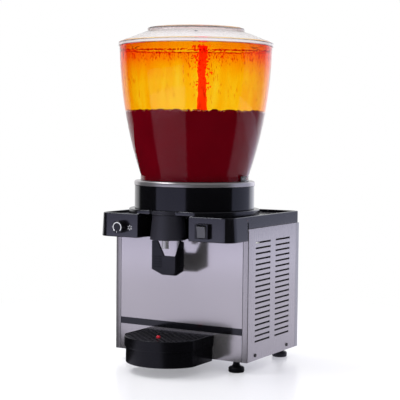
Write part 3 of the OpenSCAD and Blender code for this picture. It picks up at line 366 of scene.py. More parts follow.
def moulded_plastic(name, colour, dull, skin=0.05, shine=0.5):
    """Moulded plastic with a faint skin of its tool."""
    finish = new_finish(name)
    fine = finish.grain(1500.0, 2.0)
    broad = finish.grain(16.0, 2.0)
    shader = finish.surface(
        Base_Color=finish.blend(broad, shade(colour, 0.88), shade(colour, 1.14)),
        Roughness=dull + 0.06 * broad + 0.04 * fine,
        IOR=1.5,
        Specular_IOR_Level=shine,
        # A bluish tint on the reflections: painted reflection colour, standing for the colour of the light
        Specular_Tint=(0.86, 0.88, 1.0, 1.0),
        Normal=finish.bump(fine, skin, 0.0002),
    )
    return finish.close(shader)


def painted_metal(name, colour, dull, metal=0.0):
    """Painted or plated sheet with a soft mottle."""
    finish = new_finish(name)
    spots = finish.grain(60.0, 4.0)
    fine = finish.grain(700.0, 2.0)
    shader = finish.surface(
        Base_Color=finish.blend(spots, shade(colour, 0.86), shade(colour, 1.1)),
        Metallic=metal,
        Roughness=dull + 0.12 * spots,
        Normal=finish.bump(fine, 0.08, 0.0003),
    )
    return finish.close(shader)


def foam(name, colour):
    """Cut foam with open cells."""
    finish = new_finish(name)
    cells = finish.node("ShaderNodeTexVoronoi", {"Vector": finish.places(), "Scale": 420.0})["Distance"]
    tint = finish.blend(cells, shade(colour, 0.75), colour)
    shader = finish.surface(Base_Color=tint, Roughness=0.9, Normal=finish.bump(cells, 0.6, 0.001))
    return finish.close(shader)


def clear_acrylic(name, colour, haze, bend):
    """Clear acrylic that lets the lamps through, with faint rub marks."""
    finish = new_finish(name)
    marks = finish.grain(240.0, 3.0, (1.0, 1.0, 0.15))
    rough = haze + 0.03 * finish.ramp(marks, 0.62, 0.8)
    glass = finish.surface(Base_Color=colour, Roughness=rough, IOR=bend, Transmission_Weight=1.0)
    return finish.close(finish.open_to_lamps(glass, colour))


def thin_drink(name, colour, density, tint):
    """Drink in a thin layer: clear, and redder where it is thicker."""
    finish = new_finish(name)
    streak = finish.grain(60.0, 3.0, (1.0, 1.0, 0.25))
    body = finish.blend(finish.ramp(streak, 0.35, 0.75), WHITE, tint)
    glass = finish.surface(Base_Color=body, Roughness=0.03, IOR=1.12, Transmission_Weight=1.0)
    inside = finish.node("ShaderNodeVolumeAbsorption", {"Color": colour, "Density": density})["Volume"]
    return finish.close(finish.open_to_lamps(glass, tint), inside)


def deep_drink(name, colour):
    """Drink in depth: dark, with faint swirls."""
    finish = new_finish(name)
    swirl = finish.grain(14.0, 3.0)
    shader = finish.surface(
        Base_Color=finish.blend(swirl, shade(colour, 0.8), shade(colour, 1.2)),
        Roughness=0.06 + 0.05 * swirl,
        IOR=1.34,
        Specular_IOR_Level=0.12,
    )
    return finish.close(shader)


def bright_drink(name, colour):
    """Drink full of air in the jet: a bright red with darker wisps, and a faint glow that is painted light
    for the light passing through the drink.
    """
    finish = new_finish(name)
    wisps = finish.grain(70.0, 3.0, (1.0, 1.0, 0.4))
    tint = finish.blend(finish.ramp(wisps, 0.4, 0.75), colour, shade(colour, 0.55))
    # Emission in the colour of the jet: painted light, a glow standing for light passing through the drink
    shader = finish.surface(
        Base_Color=tint, Roughness=0.12, IOR=1.33, Emission_Color=tint, Emission_Strength=0.75
    )
    return finish.close(shader)


def drop_drink(name, tint, clear):
    """Drink in small drops: a thin red skin over a tinted clear body."""
    finish = new_finish(name)
    patch = finish.ramp(finish.grain(300.0, 2.0), 0.35, 0.65)
    body = finish.blend(patch, (0.3, 0.008, 0.003, 1.0), (0.6, 0.04, 0.004, 1.0))
    skin = finish.surface(Base_Color=body, Roughness=0.2, IOR=1.34, Specular_IOR_Level=0.3)
    return finish.close(finish.mix(clear, skin, finish.see_through(tint)))


def spread(low, high, count):
    """Evenly spaced values, both ends included."""
    return [low + (high - low) * i / (count - 1) for i in range(count)]


def share(value):
    """A value held between 0 and 1."""
    return max(0.0, min(1.0, value))


def sloped(start, end, steps):
    """Points of a profile on a straight line, without its start."""
    return [
        (start[0] + (end[0] - start[0]) * i / steps, start[1] + (end[1] - start[1]) * i / steps)
        for i in range(1, steps + 1)
    ]


def rounded(outer, top, turn, count):
    """Points of a profile round an outer corner, from its side to its top."""
    return [
        (outer - turn + turn * cos(angle), top - turn + turn * sin(angle))
        for angle in spread(0.0, pi / 2, count)
    ]


def free_hands():
    """Object mode with nothing selected."""
    if bpy.context.mode != "OBJECT":
        bpy.ops.object.mode_set(mode="OBJECT")
    bpy.ops.object.select_all(action="DESELECT")


def take(piece):
    """Makes one piece the selected and active one."""
    free_hands()
    piece.select_set(True)
    bpy.context.view_layer.objects.active = piece


def call_it(piece, name):
    """Names a piece and its mesh."""
    piece.name = name
    piece.data.name = name
    return piece


def settle(piece):
    """Puts a piece's place into its mesh."""
    take(piece)
    bpy.ops.object.transform_apply(location=True, rotation=True, scale=True)
    return piece


def smooth(piece, angle=32.0):
    """Smooth shading that keeps the sharp edges."""
    take(piece)
    bpy.ops.object.shade_smooth_by_angle(angle=radians(angle))
    return piece


def dress(piece, material, body):
    """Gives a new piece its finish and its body."""
    piece.data.materials.clear()
    piece.data.materials.append(material)
    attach(piece, body)
    return piece


def stand_in(piece, material, body, node):
    """Dresses a piece that stands for a CAD node, and hides the node."""
    dress(piece, material, body)
    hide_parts(node)
    return piece


def paint(material, *nodes):
    """Gives CAD nodes a finish."""
    for name in nodes:
        NODES[name].material_slots[0].material = material


def select_where(piece, kind, test):
    """Selects the vertices or edges that pass a test, in edit mode."""
    shape = bmesh.from_edit_mesh(piece.data)
    bpy.ops.mesh.select_mode(type={"verts": "VERT", "edges": "EDGE"}[kind])
    bpy.ops.mesh.select_all(action="DESELECT")
    parts = getattr(shape, kind)
    parts.ensure_lookup_table()
    for part in parts:
        if test(part):
            part.select_set(True)
    shape.select_flush_mode()
    bmesh.update_edit_mesh(piece.data)


def add_modifier(piece, kind, **settings):
    """Adds a modifier and applies it."""
    take(piece)
    modifier = piece.modifiers.new(kind.title(), kind)
    for key, value in settings.items():
        setattr(modifier, key, value)
    bpy.ops.object.modifier_apply(modifier=modifier.name)


def bevel_sharp(piece, width, steps, sharp, **settings):
    """Rounds the edges of a piece that turn by more than an angle."""
    settings.update(limit_method="ANGLE", angle_limit=radians(sharp), use_clamp_overlap=False)
    add_modifier(piece, "BEVEL", width=width, segments=steps, **settings)


def lathe(name, profile, centre=(0.0, 0.0), sides=None, closed=True):
    """A turned piece: a circle that is extruded ring by ring along a profile of radius and height."""
    free_hands()
    sides = sides or bpy.context.scene.dispenser_sizes.round_steps
    radius, level = profile[0]
    bpy.ops.mesh.primitive_circle_add(vertices=sides, radius=radius, location=(*centre, level))
    piece = call_it(bpy.context.object, name)
    settle(piece)
    bpy.ops.object.mode_set(mode="EDIT")
    bpy.ops.mesh.select_mode(type="EDGE")
    bpy.ops.mesh.select_all(action="SELECT")
    for wide, high in profile[1:]:
        bpy.ops.mesh.extrude_region_move(TRANSFORM_OT_translate={"value": (0.0, 0.0, high - level)})
        factor = wide / radius
        bpy.ops.transform.resize(value=(factor, factor, 1.0), center_override=(*centre, high))
        radius, level = wide, high
    if closed:
        select_where(piece, "edges", lambda e: e.is_boundary)
        bpy.ops.mesh.bridge_edge_loops()

    def at_pole(vertex):
        return hypot(vertex.co.x - centre[0], vertex.co.y - centre[1]) < POLE_REACH

    select_where(piece, "verts", at_pole)
    bpy.ops.mesh.merge(type="COLLAPSE")
    bpy.ops.mesh.select_all(action="SELECT")
    bpy.ops.mesh.normals_make_consistent(inside=False)
    bpy.ops.object.mode_set(mode="OBJECT")
    return smooth(piece)


def slab(place, size, edge, turn=(0.0, 0.0, 0.0)):
    """A block with rounded edges."""
    free_hands()
    bpy.ops.mesh.primitive_cube_add(size=1.0, location=place, rotation=turn)
    block = bpy.context.object
    block.scale = size
    settle(block)
    add_modifier(block, "BEVEL", width=edge, segments=2, affect="EDGES")
    return block


def joined(made, name):
    """Several pieces as one."""
    free_hands()
    for piece in made:
        piece.select_set(True)
    bpy.context.view_layer.objects.active = made[0]
    bpy.ops.object.join()
    return call_it(made[0], name)


def merged_copy(node, name):
    """A copy of a CAD node with its triangles joined into one skin."""
    free_hands()
    piece = NODES[node].copy()
    piece.data = NODES[node].data.copy()
    piece.parent = None
    piece.matrix_world = Matrix.Identity(4)
    for key in list(piece.keys()):
        del piece[key]
    bpy.context.scene.collection.objects.link(piece)
    call_it(piece, name)
    take(piece)
    bpy.ops.mesh.customdata_custom_splitnormals_clear()
    bpy.ops.object.mode_set(mode="EDIT")
    bpy.ops.mesh.select_all(action="SELECT")
    bpy.ops.mesh.remove_doubles(threshold=2e-6)
    bpy.ops.mesh.dissolve_limited(angle_limit=radians(0.4))
    bpy.ops.object.mode_set(mode="OBJECT")
    return piece


def rounded_copy(node, name, width, steps=3, sharp=38.0):
    """A merged copy of a CAD node with its sharp edges rounded."""
    piece = merged_copy(node, name)
    bevel_sharp(piece, width, steps, sharp, miter_outer="MITER_ARC", harden_normals=False)
    smooth(piece, 35.0)
    add_modifier(piece, "WEIGHTED_NORMAL", mode="FACE_AREA", weight=50, keep_sharp=True)
    return piece


def reshape(node, name, material, width, steps=3, sharp=38.0, body="cabinet"):
    """Lets a rounded copy stand for a CAD node."""
    stand_in(rounded_copy(node, name, width, steps, sharp), material, body, node)


def wall_radius(height, inset):
    """Radius of the bowl's outside at a height, drawn in by an inset."""
    rise = SHOULDER[1] - NECK[1]
    run = SHOULDER[0] - NECK[0]
    chord = hypot(run, rise)
    sweep = (chord * chord / 4 + SWELL * SWELL) / (2 * SWELL)
    back = SWELL - sweep
    mid = ((NECK[0] + SHOULDER[0]) / 2, (NECK[1] + SHOULDER[1]) / 2)
    centre = (mid[0] + rise / chord * back, mid[1] - run / chord * back)
    return centre[0] + sqrt((sweep - inset) ** 2 - (height - centre[1]) ** 2)


def splash_height(sizes, place):
    """Height of the splash line on the wall, which rises towards the rear left."""
    turn = radians(30.0)
    away = (place.y * cos(turn) - place.x * sin(turn)) / hypot(place.x, place.y)
    return sizes.splash_line + sizes.splash_rise * (1.0 + away) / 2


class DISPENSER_OT_stage(bpy.types.Operator):
    """Sets up the camera, the lamps, the room and the floor"""

    bl_idname = "dispenser.stage"
    bl_label = "Stage"

    def standing(self, place, way):
        """Where something stands that looks along a direction."""
        return Matrix.Translation(place) @ way.to_track_quat("-Z", "Y").to_matrix().to_4x4()

    def camera(self, settings):
        """The camera, which leans a little."""
        data = bpy.data.cameras.new("camera")
        data.lens = settings.lens
        data.sensor_width = 36.0
        data.clip_start = 0.05
        data.clip_end = 50.0
        camera = bpy.data.objects.new("camera", data)
        bpy.context.scene.collection.objects.link(camera)
        turn = settings.camera_turn
        dip = settings.camera_dip
        ahead = Vector((-sin(turn) * cos(dip), cos(turn) * cos(dip), -sin(dip)))
        lean = Matrix.Rotation(settings.camera_roll, 4, "Z")
        camera.matrix_world = self.standing(settings.camera_place, ahead) @ lean
        bpy.context.scene.camera = camera

    def lamp(self, name, wide, tall, level, stand, colour=(1.0, 1.0, 1.0)):
        """A flat lamp that isn't seen itself. Its level is its brightness, whatever its size."""
        data = bpy.data.lights.new(name, "AREA")
        data.shape = "RECTANGLE"
        data.size = wide
        data.size_y = tall
        data.energy = level * pi * wide * tall
        data.color = colour
        lamp = bpy.data.objects.new(name, data)
        bpy.context.scene.collection.objects.link(lamp)
        lamp.matrix_world = stand
        lamp.visible_camera = False
        lamp.visible_transmission = False

    def softbox(self, name, azimuth, distance, wide, low, high, level, colour):
        """An upright lamp that faces the dispenser."""
        angle = radians(azimuth)
        place = Vector((sin(angle) * distance, -cos(angle) * distance, (low + high) / 2))
        facing = Vector((-sin(angle), cos(angle), 0.0))
        self.lamp(name, wide, high - low, level, self.standing(place, facing), colour)

    def room(self, settings):
        """White all round, but mirrors see only a white wall behind the dispenser and a dim ceiling."""
        world = bpy.data.worlds.new("room")
        bpy.context.scene.world = world
        finish = Finish(world)
        way = finish.node("ShaderNodeTexCoord")["Generated"]
        turn = settings.camera_turn
        facing = finish.along(way, (sin(turn), -cos(turn), 0.0))
        up = finish.node("ShaderNodeSeparateXYZ", {"Vector": way})["Z"]
        ceiling = finish.ramp(up, 0.25, 0.8)
        behind = 1 - finish.ramp(facing, -0.75, -0.58)
        mirror = 0.012 + behind.at_least(0.3 * ceiling)
        path = finish.node("ShaderNodeLightPath")
        seen = path["Is Camera Ray"]
        glossy = path["Glossy Depth"].at_most(1.0)
        bounced = path["Diffuse Depth"].at_most(1.0)
        direct = glossy * mirror + (1 - glossy)
        rest = bounced * settings.room_light + (1 - bounced) * direct
        level = seen + (1 - seen) * rest
        light = finish.node("ShaderNodeBackground", {"Color": WHITE, "Strength": level})
        finish.close(light["Background"])

    def floor(self):
        """A pale glossy floor that turns white further out. Mirrors see painted pools of light on it under
        the softboxes: a glow, not lamp light.
        """
        free_hands()
        bpy.ops.mesh.primitive_circle_add(vertices=96, radius=3.2, fill_type="NGON", location=(0.0, 0.0, 0.0))
        floor = call_it(bpy.context.object, "studio_floor")
        finish = new_finish("pale floor")
        where = finish.node("ShaderNodeTexCoord")["Object"]
        far = finish.node("ShaderNodeVectorMath", {0: where}, operation="LENGTH")["Value"]
        way = finish.node("ShaderNodeVectorMath", {0: where}, operation="NORMALIZE")["Vector"]
        gloss = finish.surface(
            Base_Color=(0.8, 0.8, 0.82, 1.0), Roughness=0.25, IOR=1.4, Specular_IOR_Level=0.5
        )
        lift = finish.glow((0.95, 0.95, 1.0, 1.0), 0.3)
        near = finish.node("ShaderNodeAddShader", {0: gloss, 1: lift})["Shader"]
        open_floor = finish.mix(finish.ramp(far, 0.42, 1.0), near, finish.glow(WHITE, 1.0))
        # Painted pools of light: for mirrors the floor glows where it lies towards a softbox, brighter
        # further out
        lit = []
        for azimuth, inner, outer in ((LEFT_LAMP, 28.0, 32.0), (RIGHT_LAMP, 42.0, 46.0)):
            angle = radians(azimuth)
            along = finish.along(way, (sin(angle), -cos(angle), 0.0))
            lit.append(finish.ramp(along, cos(radians(outer)), cos(radians(inner))))
        level = (0.82 + 0.16 * finish.ramp(far, 0.3, 0.75)) * lit[0].at_least(lit[1]) + 0.006
        dim = finish.glow((0.97, 0.94, 1.1, 1.0), level)
        mirrored = finish.node("ShaderNodeLightPath")["Glossy Depth"].at_most(1.0)
        floor.data.materials.append(finish.close(finish.mix(mirrored, open_floor, dim)))

    def execute(self, context):
        settings = context.scene.dispenser_stage
        self.camera(settings)
        self.softbox("left_softbox", LEFT_LAMP, 1.6, 1.82, 0.02, 0.5, settings.left_box, (0.95, 0.93, 1.22))
        self.softbox("right_softbox", RIGHT_LAMP, 1.7, 3.1, 0.02, 1.7, settings.right_box, (0.91, 0.94, 1.24))
        self.lamp("top_strip", 0.55, 1.8, settings.top_strip, Matrix.Translation((-1.0, -0.7, 2.0)))
        self.room(settings)
        self.floor()
        context.scene.view_settings.view_transform = "Standard"
        return {"FINISHED"}


class DISPENSER_OT_cabinet(bpy.types.Operator):
    """Brushed steel cabinet with its band, screws, feet and rear fittings"""

    bl_idname = "dispenser.cabinet"
    bl_label = "Cabinet"

    def panel(self, node, steel):
        """A side panel whose long outer fold is rounded."""
        piece = merged_copy(node, node + "_sheet")
        low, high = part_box(node)
        outer = low.x if node.startswith("left") else high.x
        take(piece)
        bpy.ops.object.mode_set(mode="EDIT")

        def fold(edge):
            first, last = edge.verts[0].co, edge.verts[1].co
            upright = abs(first.z - last.z) > 0.05
            return upright and abs(first.x - outer) < 1e-4 and abs(first.y - low.y) < 1e-4

        select_where(piece, "edges", fold)
        bpy.ops.mesh.bevel(offset=0.0016, segments=3, affect="EDGES", clamp_overlap=False)
        bpy.ops.object.mode_set(mode="OBJECT")
        stand_in(smooth(piece, 25.0), steel, "cabinet", node)

    def joints(self, dark):
        """Dark strips in the gaps between the front panel and the folds of the sides, one piece: painted
        shadow of the gaps.
        """
        low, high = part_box("front_panel")
        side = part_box("right_side_panel")[1].x
        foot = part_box("right_side_panel")[0].z + 0.0005
        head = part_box("top_tray")[0].z + 0.02
        places = [(low.x, Y_FRONT, 0.0011, 0.0003), (high.x, Y_FRONT, 0.0009, 0.0003)]
        places += [(x, Y_FRONT + 0.0009, 0.0003, 0.0013) for x in (-side, side)]
        made = [
            slab((x, y, (foot + head) / 2), (wide, deep, head - foot), 0.0001)
            for x, y, wide, deep in places
        ]
        dress(smooth(joined(made, "panel_joints")), dark, "cabinet")

    def execute(self, context):
        colours = context.scene.dispenser_finish
        # The sides' steel is 0.92 of the front's colour: painted shade on the upright panels
        upright = brushed_steel("upright brushed steel", shade(colours.steel, 0.92), 2, 0.2)
        self.panel("left_side_panel", upright)
        self.panel("right_side_panel", upright)
        paint(brushed_steel("level brushed steel", colours.steel, 0, 0.09), "front_panel", "tray_studs")
        zinc = painted_metal("zinc plate", (0.42, 0.42, 0.44, 1.0), 0.4, 0.85)
        paint(zinc, "base_pan", "rear_panel", "foot_nuts")
        gloss = moulded_plastic("gloss band", colours.black, 0.08, 0.01)
        reshape("front_band", "front_band_strip", gloss, 0.0002, 2)
        paint(painted_metal("blackened screws", (0.03, 0.03, 0.033, 1.0), 0.35, 0.6), "panel_screws")
        # Dark strips at the front corners: painted shadow of the gaps between the panels
        self.joints(moulded_plastic("joint sealer", (0.02, 0.019, 0.026, 1.0), 0.5, 0.1, 0.3))
        black = moulded_plastic("foot plastic", (0.003, 0.003, 0.004, 1.0), 0.34, 0.12, 0.3)
        paint(black, "mains_gland")
        for node in ("foot_front_left", "foot_front_right", "foot_rear_left", "foot_rear_right"):
            reshape(node, node + "_pad", black, 0.0009, 3, 20.0, node)
        return {"FINISHED"}


class DISPENSER_OT_top(bpy.types.Operator):
    """Top moulding, tap cover, collar, seat ring and bowl clips"""

    bl_idname = "dispenser.top"
    bl_label = "Top"

    def tray(self, edge):
        """The top moulding, whose long sides lean in, and less so towards the rear."""
        tray = rounded_copy("top_tray", "top_moulding", edge * 1.5)
        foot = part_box("top_tray")[0].z
        for vertex in tray.data.vertices:
            if abs(vertex.co.x) > TRAY_SIDE:
                lean = share((vertex.co.z - foot) / (TRAY_RIM - foot))
                fade = share((0.15 - vertex.co.y) / 0.25)
                vertex.co.x -= copysign(TRAY_LEAN * lean * fade, vertex.co.x)
        return tray

    def ring(self):
        """The steel ring under the bowl, with a round outer shoulder."""
        low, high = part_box("seat_ring")
        outer = high.x
        inner = 0.1045
        chamfer = 0.0006
        profile = [(inner, low.z), (outer - chamfer, low.z), (outer, low.z + chamfer)]
        profile += rounded(outer, high.z, 0.0045, 7)
        profile.append((inner, high.z))
        return lathe("seat_ring_steel", profile)

    def execute(self, context):
        colours = context.scene.dispenser_finish
        edge = context.scene.dispenser_sizes.edge
        satin = moulded_plastic("satin black moulding", shade(colours.black, 1.5), 0.16, 0.04, 0.75)
        stand_in(self.tray(edge), satin, "cabinet", "top_tray")
        matt = moulded_plastic("matt black moulding", (0.019, 0.018, 0.026, 1.0), 0.42, 0.08)
        reshape("tap_cover", "tap_cover_shell", matt, edge * 0.7)
        gloss = moulded_plastic("gloss black moulding", colours.black, 0.06, 0.01)
        reshape("collar", "collar_shell", gloss, edge)
        stand_in(self.ring(), brushed_steel("turned steel", colours.steel, 2, 0.22), "cabinet", "seat_ring")
        grey = moulded_plastic("grey clip", (0.12, 0.12, 0.125, 1.0), 0.3)
        reshape("bowl_clips", "bowl_clip_pair", grey, 0.0006)
        return {"FINISHED"}


class DISPENSER_OT_bowl(bpy.types.Operator):
    """Clear bowl and lid"""

    bl_idname = "dispenser.bowl"
    bl_label = "Bowl and lid"

    def outline(self, low, high):
        """Half of the lid in section: the sunk top, the slope, the rim, the skirt and back inside."""
        rim = high.x
        top = high.z - 0.0015
        slope = (LID_FLAT + 0.0015, high.z - 0.0065)
        band = high.z - LID_BAND
        seat = high.z - LID_SEAT
        inner = SHOULDER[0] - BOWL_WALL
        skirt = (inner - 0.005, band - 0.001)
        lip = low.z + 0.005
        profile = [(POLE, top), (LID_FLAT - 0.005, top), (LID_FLAT - 0.004, high.z), (LID_FLAT, high.z)]
        profile += [(LID_FLAT, high.z - 0.005), slope]
        profile += sloped(slope, (rim - 0.003, high.z - 0.0285), 8)
        profile += [(rim, band), (rim, lip), (rim - 0.0017, lip), (rim - 0.0017, seat)]
        profile += [(inner - 0.0015, seat), (inner - 0.002, low.z), (skirt[0], low.z), skirt]
        profile += sloped(skirt, (LID_FLAT - LID_WALL, band + 0.0225), 8)
        profile += [(LID_FLAT - LID_WALL - 0.001, top - LID_WALL), (POLE, top - LID_WALL)]
        return profile

    def lid(self):
        """The lid, with a finish of its own on its edges and on its skirt. The edges' finish has a darker,
        pinkish tint: painted shade for the dark lines at the rim and at the edge of the flat top.
        """
        low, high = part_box("lid")
        lid = lathe("lid_shell", self.outline(low, high), closed=False)
        bevel_sharp(lid, 0.0006, 3, 20.0)
        shell = clear_acrylic("clear lid", (0.992, 0.975, 0.982, 1.0), 0.16, 1.1)
        stand_in(smooth(lid, 30.0), shell, "lid", "lid")
        # A darker, pinkish tint on the rim and on the edge of the flat top: painted shade for their dark
        # outlines
        lid.data.materials.append(clear_acrylic("clear lid rim", (0.88, 0.78, 0.8, 1.0), 0.06, 1.2))
        lid.data.materials.append(clear_acrylic("clear lid skirt", (0.99, 0.98, 0.99, 1.0), 0.0, 1.1))
        for face in lid.data.polygons:
            away = hypot(face.center.x, face.center.y)
            on_edge = abs(away - LID_FLAT) < 0.006 and face.center.z > high.z - 0.0072
            if away > high.x - 0.0065 or on_edge:
                face.material_index = 1
            elif face.center.z < high.z - LID_SEAT + 0.001:
                face.material_index = 2

    def nub(self):
        """The small moulding nub on the slope of the lid."""
        away = 0.123
        turn = radians(30.0)
        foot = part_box("lid")[1].z - 0.0155
        steps = (
            (POLE, 0.0), (0.0026, 0.0), (0.0026, 0.0016), (0.0021, 0.0023), (0.0012, 0.0027), (POLE, 0.0028),
        )
        profile = [(radius, foot + rise) for radius, rise in steps]
        nub = lathe("lid_nub", profile, (away * sin(turn), -away * cos(turn)), 24, closed=False)
        dress(nub, moulded_plastic("nub grey", (0.33, 0.32, 0.35, 1.0), 0.3), "lid")

    def execute(self, context):
        paint(clear_acrylic("clear bowl", (0.998, 0.998, 1.0, 1.0), 0.0, 1.22), "bowl")
        self.lid()
        self.nub()
        return {"FINISHED"}


class DISPENSER_OT_drink(bpy.types.Operator):
    """Drink in the bowl, its film on the wall, the jet and its drops"""

    bl_idname = "dispenser.drink"
    bl_label = "Drink"

    def pool(self, sizes, colours):
        """The deep drink, with ripples on its top."""
        gap = BOWL_WALL - 0.00015
        floor = BOWL_FLOOR - 0.0035
        level = sizes.level - sizes.wave
        rim = wall_radius(level, gap)
        rings = 26
        profile = [(POLE, level)]
        profile += [(rim * i / rings, level) for i in range(1, rings)]
        profile += [(wall_radius(z, gap), z) for z in spread(level, floor, 24)]
        profile += [(DRUM_RADIUS, floor), (DRUM_RADIUS, DRUM_TOP)]
        profile += [(PUMP_RADIUS, DRUM_TOP), (PUMP_RADIUS, PUMP_TOP), (POLE, PUMP_TOP)]
        pool = lathe("drink_pool", profile, sides=360, closed=False)
        for vertex in pool.data.vertices:
            if vertex.co.z > level - 1e-5:
                ripple = 3.2 * abs(noise.noise(vertex.co * 66.0)) - 0.7
                ripple += 0.4 * noise.noise(vertex.co * 260.0)
                vertex.co.z += sizes.wave * max(-1.0, min(1.0, ripple))
        stand_in(smooth(pool), deep_drink("deep drink", colours.drink), "bowl", "drink")

    def growth(self, sizes, place):
        """How much thicker the film is at a place: in runs, at the splash line and above, and just below."""
        thick = sizes.film_thickness
        around = Vector((place.x, place.y, place.z * 0.22))
        runs = noise.noise(around * 70.0) + 0.5 * noise.noise(around * 160.0)
        above = place.z - splash_height(sizes, place) - 0.0015 * noise.noise(place * 60.0)
        line = exp(-((above / 0.0016) ** 2))
        curtain = max(0.0, 1.0 - abs(above + 0.011) / 0.014)
        grow = thick * 0.45 * runs
        grow += line * (0.0003 + 0.0014 * max(0.0, noise.noise(place * 240.0)))
        grow += 0.0013 * share(1.0 + above / 0.075) ** 2.2
        grow += 0.0012 * share(above / 0.004)
        grow += curtain * 0.0012 * max(0.0, noise.noise(around * 130.0))
        grow = max(grow, -thick * 0.6)
        return min(grow, FILM_THIN) if place.z > FILM_THIN_FROM else grow

    def film(self, sizes):
        """The thin drink on the wall. Only its inner face is uneven."""
        gap = BOWL_WALL - 0.0001
        thick = sizes.film_thickness
        rows = spread(sizes.level - 0.003, FILM_TOP, 64)
        profile = [(wall_radius(z, gap), z) for z in rows]
        profile += [(wall_radius(z, gap + thick), z) for z in reversed(rows)]
        film = lathe("drink_film", profile, sides=240)
        for vertex in film.data.vertices:
            radius = hypot(vertex.co.x, vertex.co.y)
            if radius > wall_radius(vertex.co.z, gap + thick * 0.5):
                continue
            grow = self.growth(sizes, vertex.co)
            vertex.co.x -= grow * vertex.co.x / radius
            vertex.co.y -= grow * vertex.co.y / radius
        finish = thin_drink("thin drink", (0.999, 0.872, 0.0, 1.0), 2950.0, (1.0, 0.95, 0.85, 1.0))
        dress(smooth(film, 60.0), finish, "bowl")

    def lumps(self, name, spots, finish):
        """Many uneven drops as one piece. A spot is a place, a turn, a radius and a stretch."""
        free_hands()
        bpy.ops.mesh.primitive_uv_sphere_add(segments=8, ring_count=5, radius=1.0)
        drop = bpy.context.object
        bpy.ops.object.mode_set(mode="EDIT")
        select_where(drop, "verts", lambda v: v.co.z > 0.5)
        bpy.ops.transform.resize(value=(0.75, 0.75, 1.0), center_override=(0.0, 0.0, 1.0))
        bpy.ops.object.mode_set(mode="OBJECT")
        made = []
        for place, turn, size, stretch in spots:
            lump = drop.copy()
            lump.data = drop.data.copy()
            bpy.context.scene.collection.objects.link(lump)
            scale = Matrix.Diagonal((*[size * side for side in stretch], 1.0))
            lump.matrix_world = Matrix.Translation(place) @ Matrix.Rotation(turn, 4, "Z") @ scale
            made.append(lump)
        bpy.data.objects.remove(drop)
        piece = settle(joined(made, name))
        for vertex in piece.data.vertices:
            vertex.co += 0.0004 * noise.noise_vector(vertex.co * 700.0)
        dress(smooth(piece, 180.0), finish, "bowl")

    def beads(self, sizes):
        """Beads along the splash line and runs below it, one piece."""
        chance = random.Random(5)
        spots = []

        def add(below, size, tall):
            angle = chance.uniform(0.0, 2 * pi)
            height = splash_height(sizes, Vector((cos(angle), sin(angle), 0.0))) - below
            away = wall_radius(height, BOWL_WALL + 0.6 * size)
            place = (away * cos(angle), away * sin(angle), height)
            spots.append((place, angle, size, (0.6, 1.0, tall)))

        for _ in range(760):
            add(chance.gauss(0.0, 0.0009), chance.uniform(0.0011, 0.0023), chance.uniform(0.5, 0.9))
        for _ in range(380):
            below = 0.002 + min(0.03, abs(chance.gauss(0.0, 0.012)))
            add(below, chance.uniform(0.0005, 0.0011), chance.uniform(1.0, 3.6))
        for _ in range(170):
            below = chance.uniform(0.02, sizes.splash_line - sizes.level - 0.012)
            add(below, chance.uniform(0.0004, 0.0007), chance.uniform(2.5, 8.0))
        self.lumps("wall_beads", spots, drop_drink("bead drink", (0.93, 0.3, 0.1, 1.0), 0.97))

    def jet(self, sizes, finish):
        """The ragged jet out of the drink, which thins and sways as it climbs towards the lid."""
        low = sizes.level - 0.008
        profile = [(POLE, low)]
        profile += [(sizes.jet_radius, z) for z in spread(low, JET_TOP, 70)]
        profile.append((POLE, JET_TOP))
        jet = lathe("drink_jet", profile, (JET_X, 0.0), 36, closed=False)
        for vertex in jet.data.vertices:
            out = Vector((vertex.co.x - JET_X, vertex.co.y, 0.0))
            climb = (vertex.co.z - low) / (JET_TOP - low)
            around = Vector((vertex.co.x, vertex.co.y, vertex.co.z * 0.55))
            swell = 1.08 - 0.4 * climb + (0.08 + 0.45 * climb) * noise.noise(around * 130.0)
            swell += (0.06 + 0.3 * climb) * noise.noise(vertex.co * 320.0)
            sway = 0.0022 * climb * noise.noise(Vector((0.0, 7.0, vertex.co.z * 22.0)))
            vertex.co.x = JET_X + out.x * swell + sway
            vertex.co.y = out.y * swell
        dress(smooth(jet, 60.0), finish, "bowl")

    def drops(self, finish):
        """Bright drops thrown off the jet and clear spray round it, mostly in its upper half."""
        chance = random.Random(11)
        bright = []
        spray = []

        def add(spots, height, away, sizes, wide, talls):
            angle = chance.uniform(0.0, 2 * pi)
            place = (JET_X + away * cos(angle), away * sin(angle), height)
            spots.append((place, angle, chance.uniform(*sizes), (1.0, wide, chance.uniform(*talls))))

        for _ in range(60):
            height = 0.575 + 0.098 * chance.random() ** 0.7
            away = 0.009 + 0.014 * chance.random()
            add(bright, height, away, (0.0008, 0.0021), 1.0, (1.0, 1.7))
        for _ in range(190):
            climb = chance.random() ** 0.55
            away = abs(chance.gauss(0.0, 0.0085)) * (0.75 + 0.5 * climb) + 0.002
            add(spray, 0.572 + 0.102 * climb, away, (0.0007, 0.0022), 0.8, (0.7, 1.4))
        self.lumps("jet_drops", bright, finish)
        self.lumps("jet_spray", spray, drop_drink("spray drink", (0.95, 0.32, 0.1, 1.0), 0.94))

    def execute(self, context):
        sizes = context.scene.dispenser_sizes
        colours = context.scene.dispenser_finish
        self.pool(sizes, colours)
        self.film(sizes)
        self.beads(sizes)
        bright = bright_drink("jet drink", colours.jet)
        self.jet(sizes, bright)
        self.drops(bright)
        return {"FINISHED"}


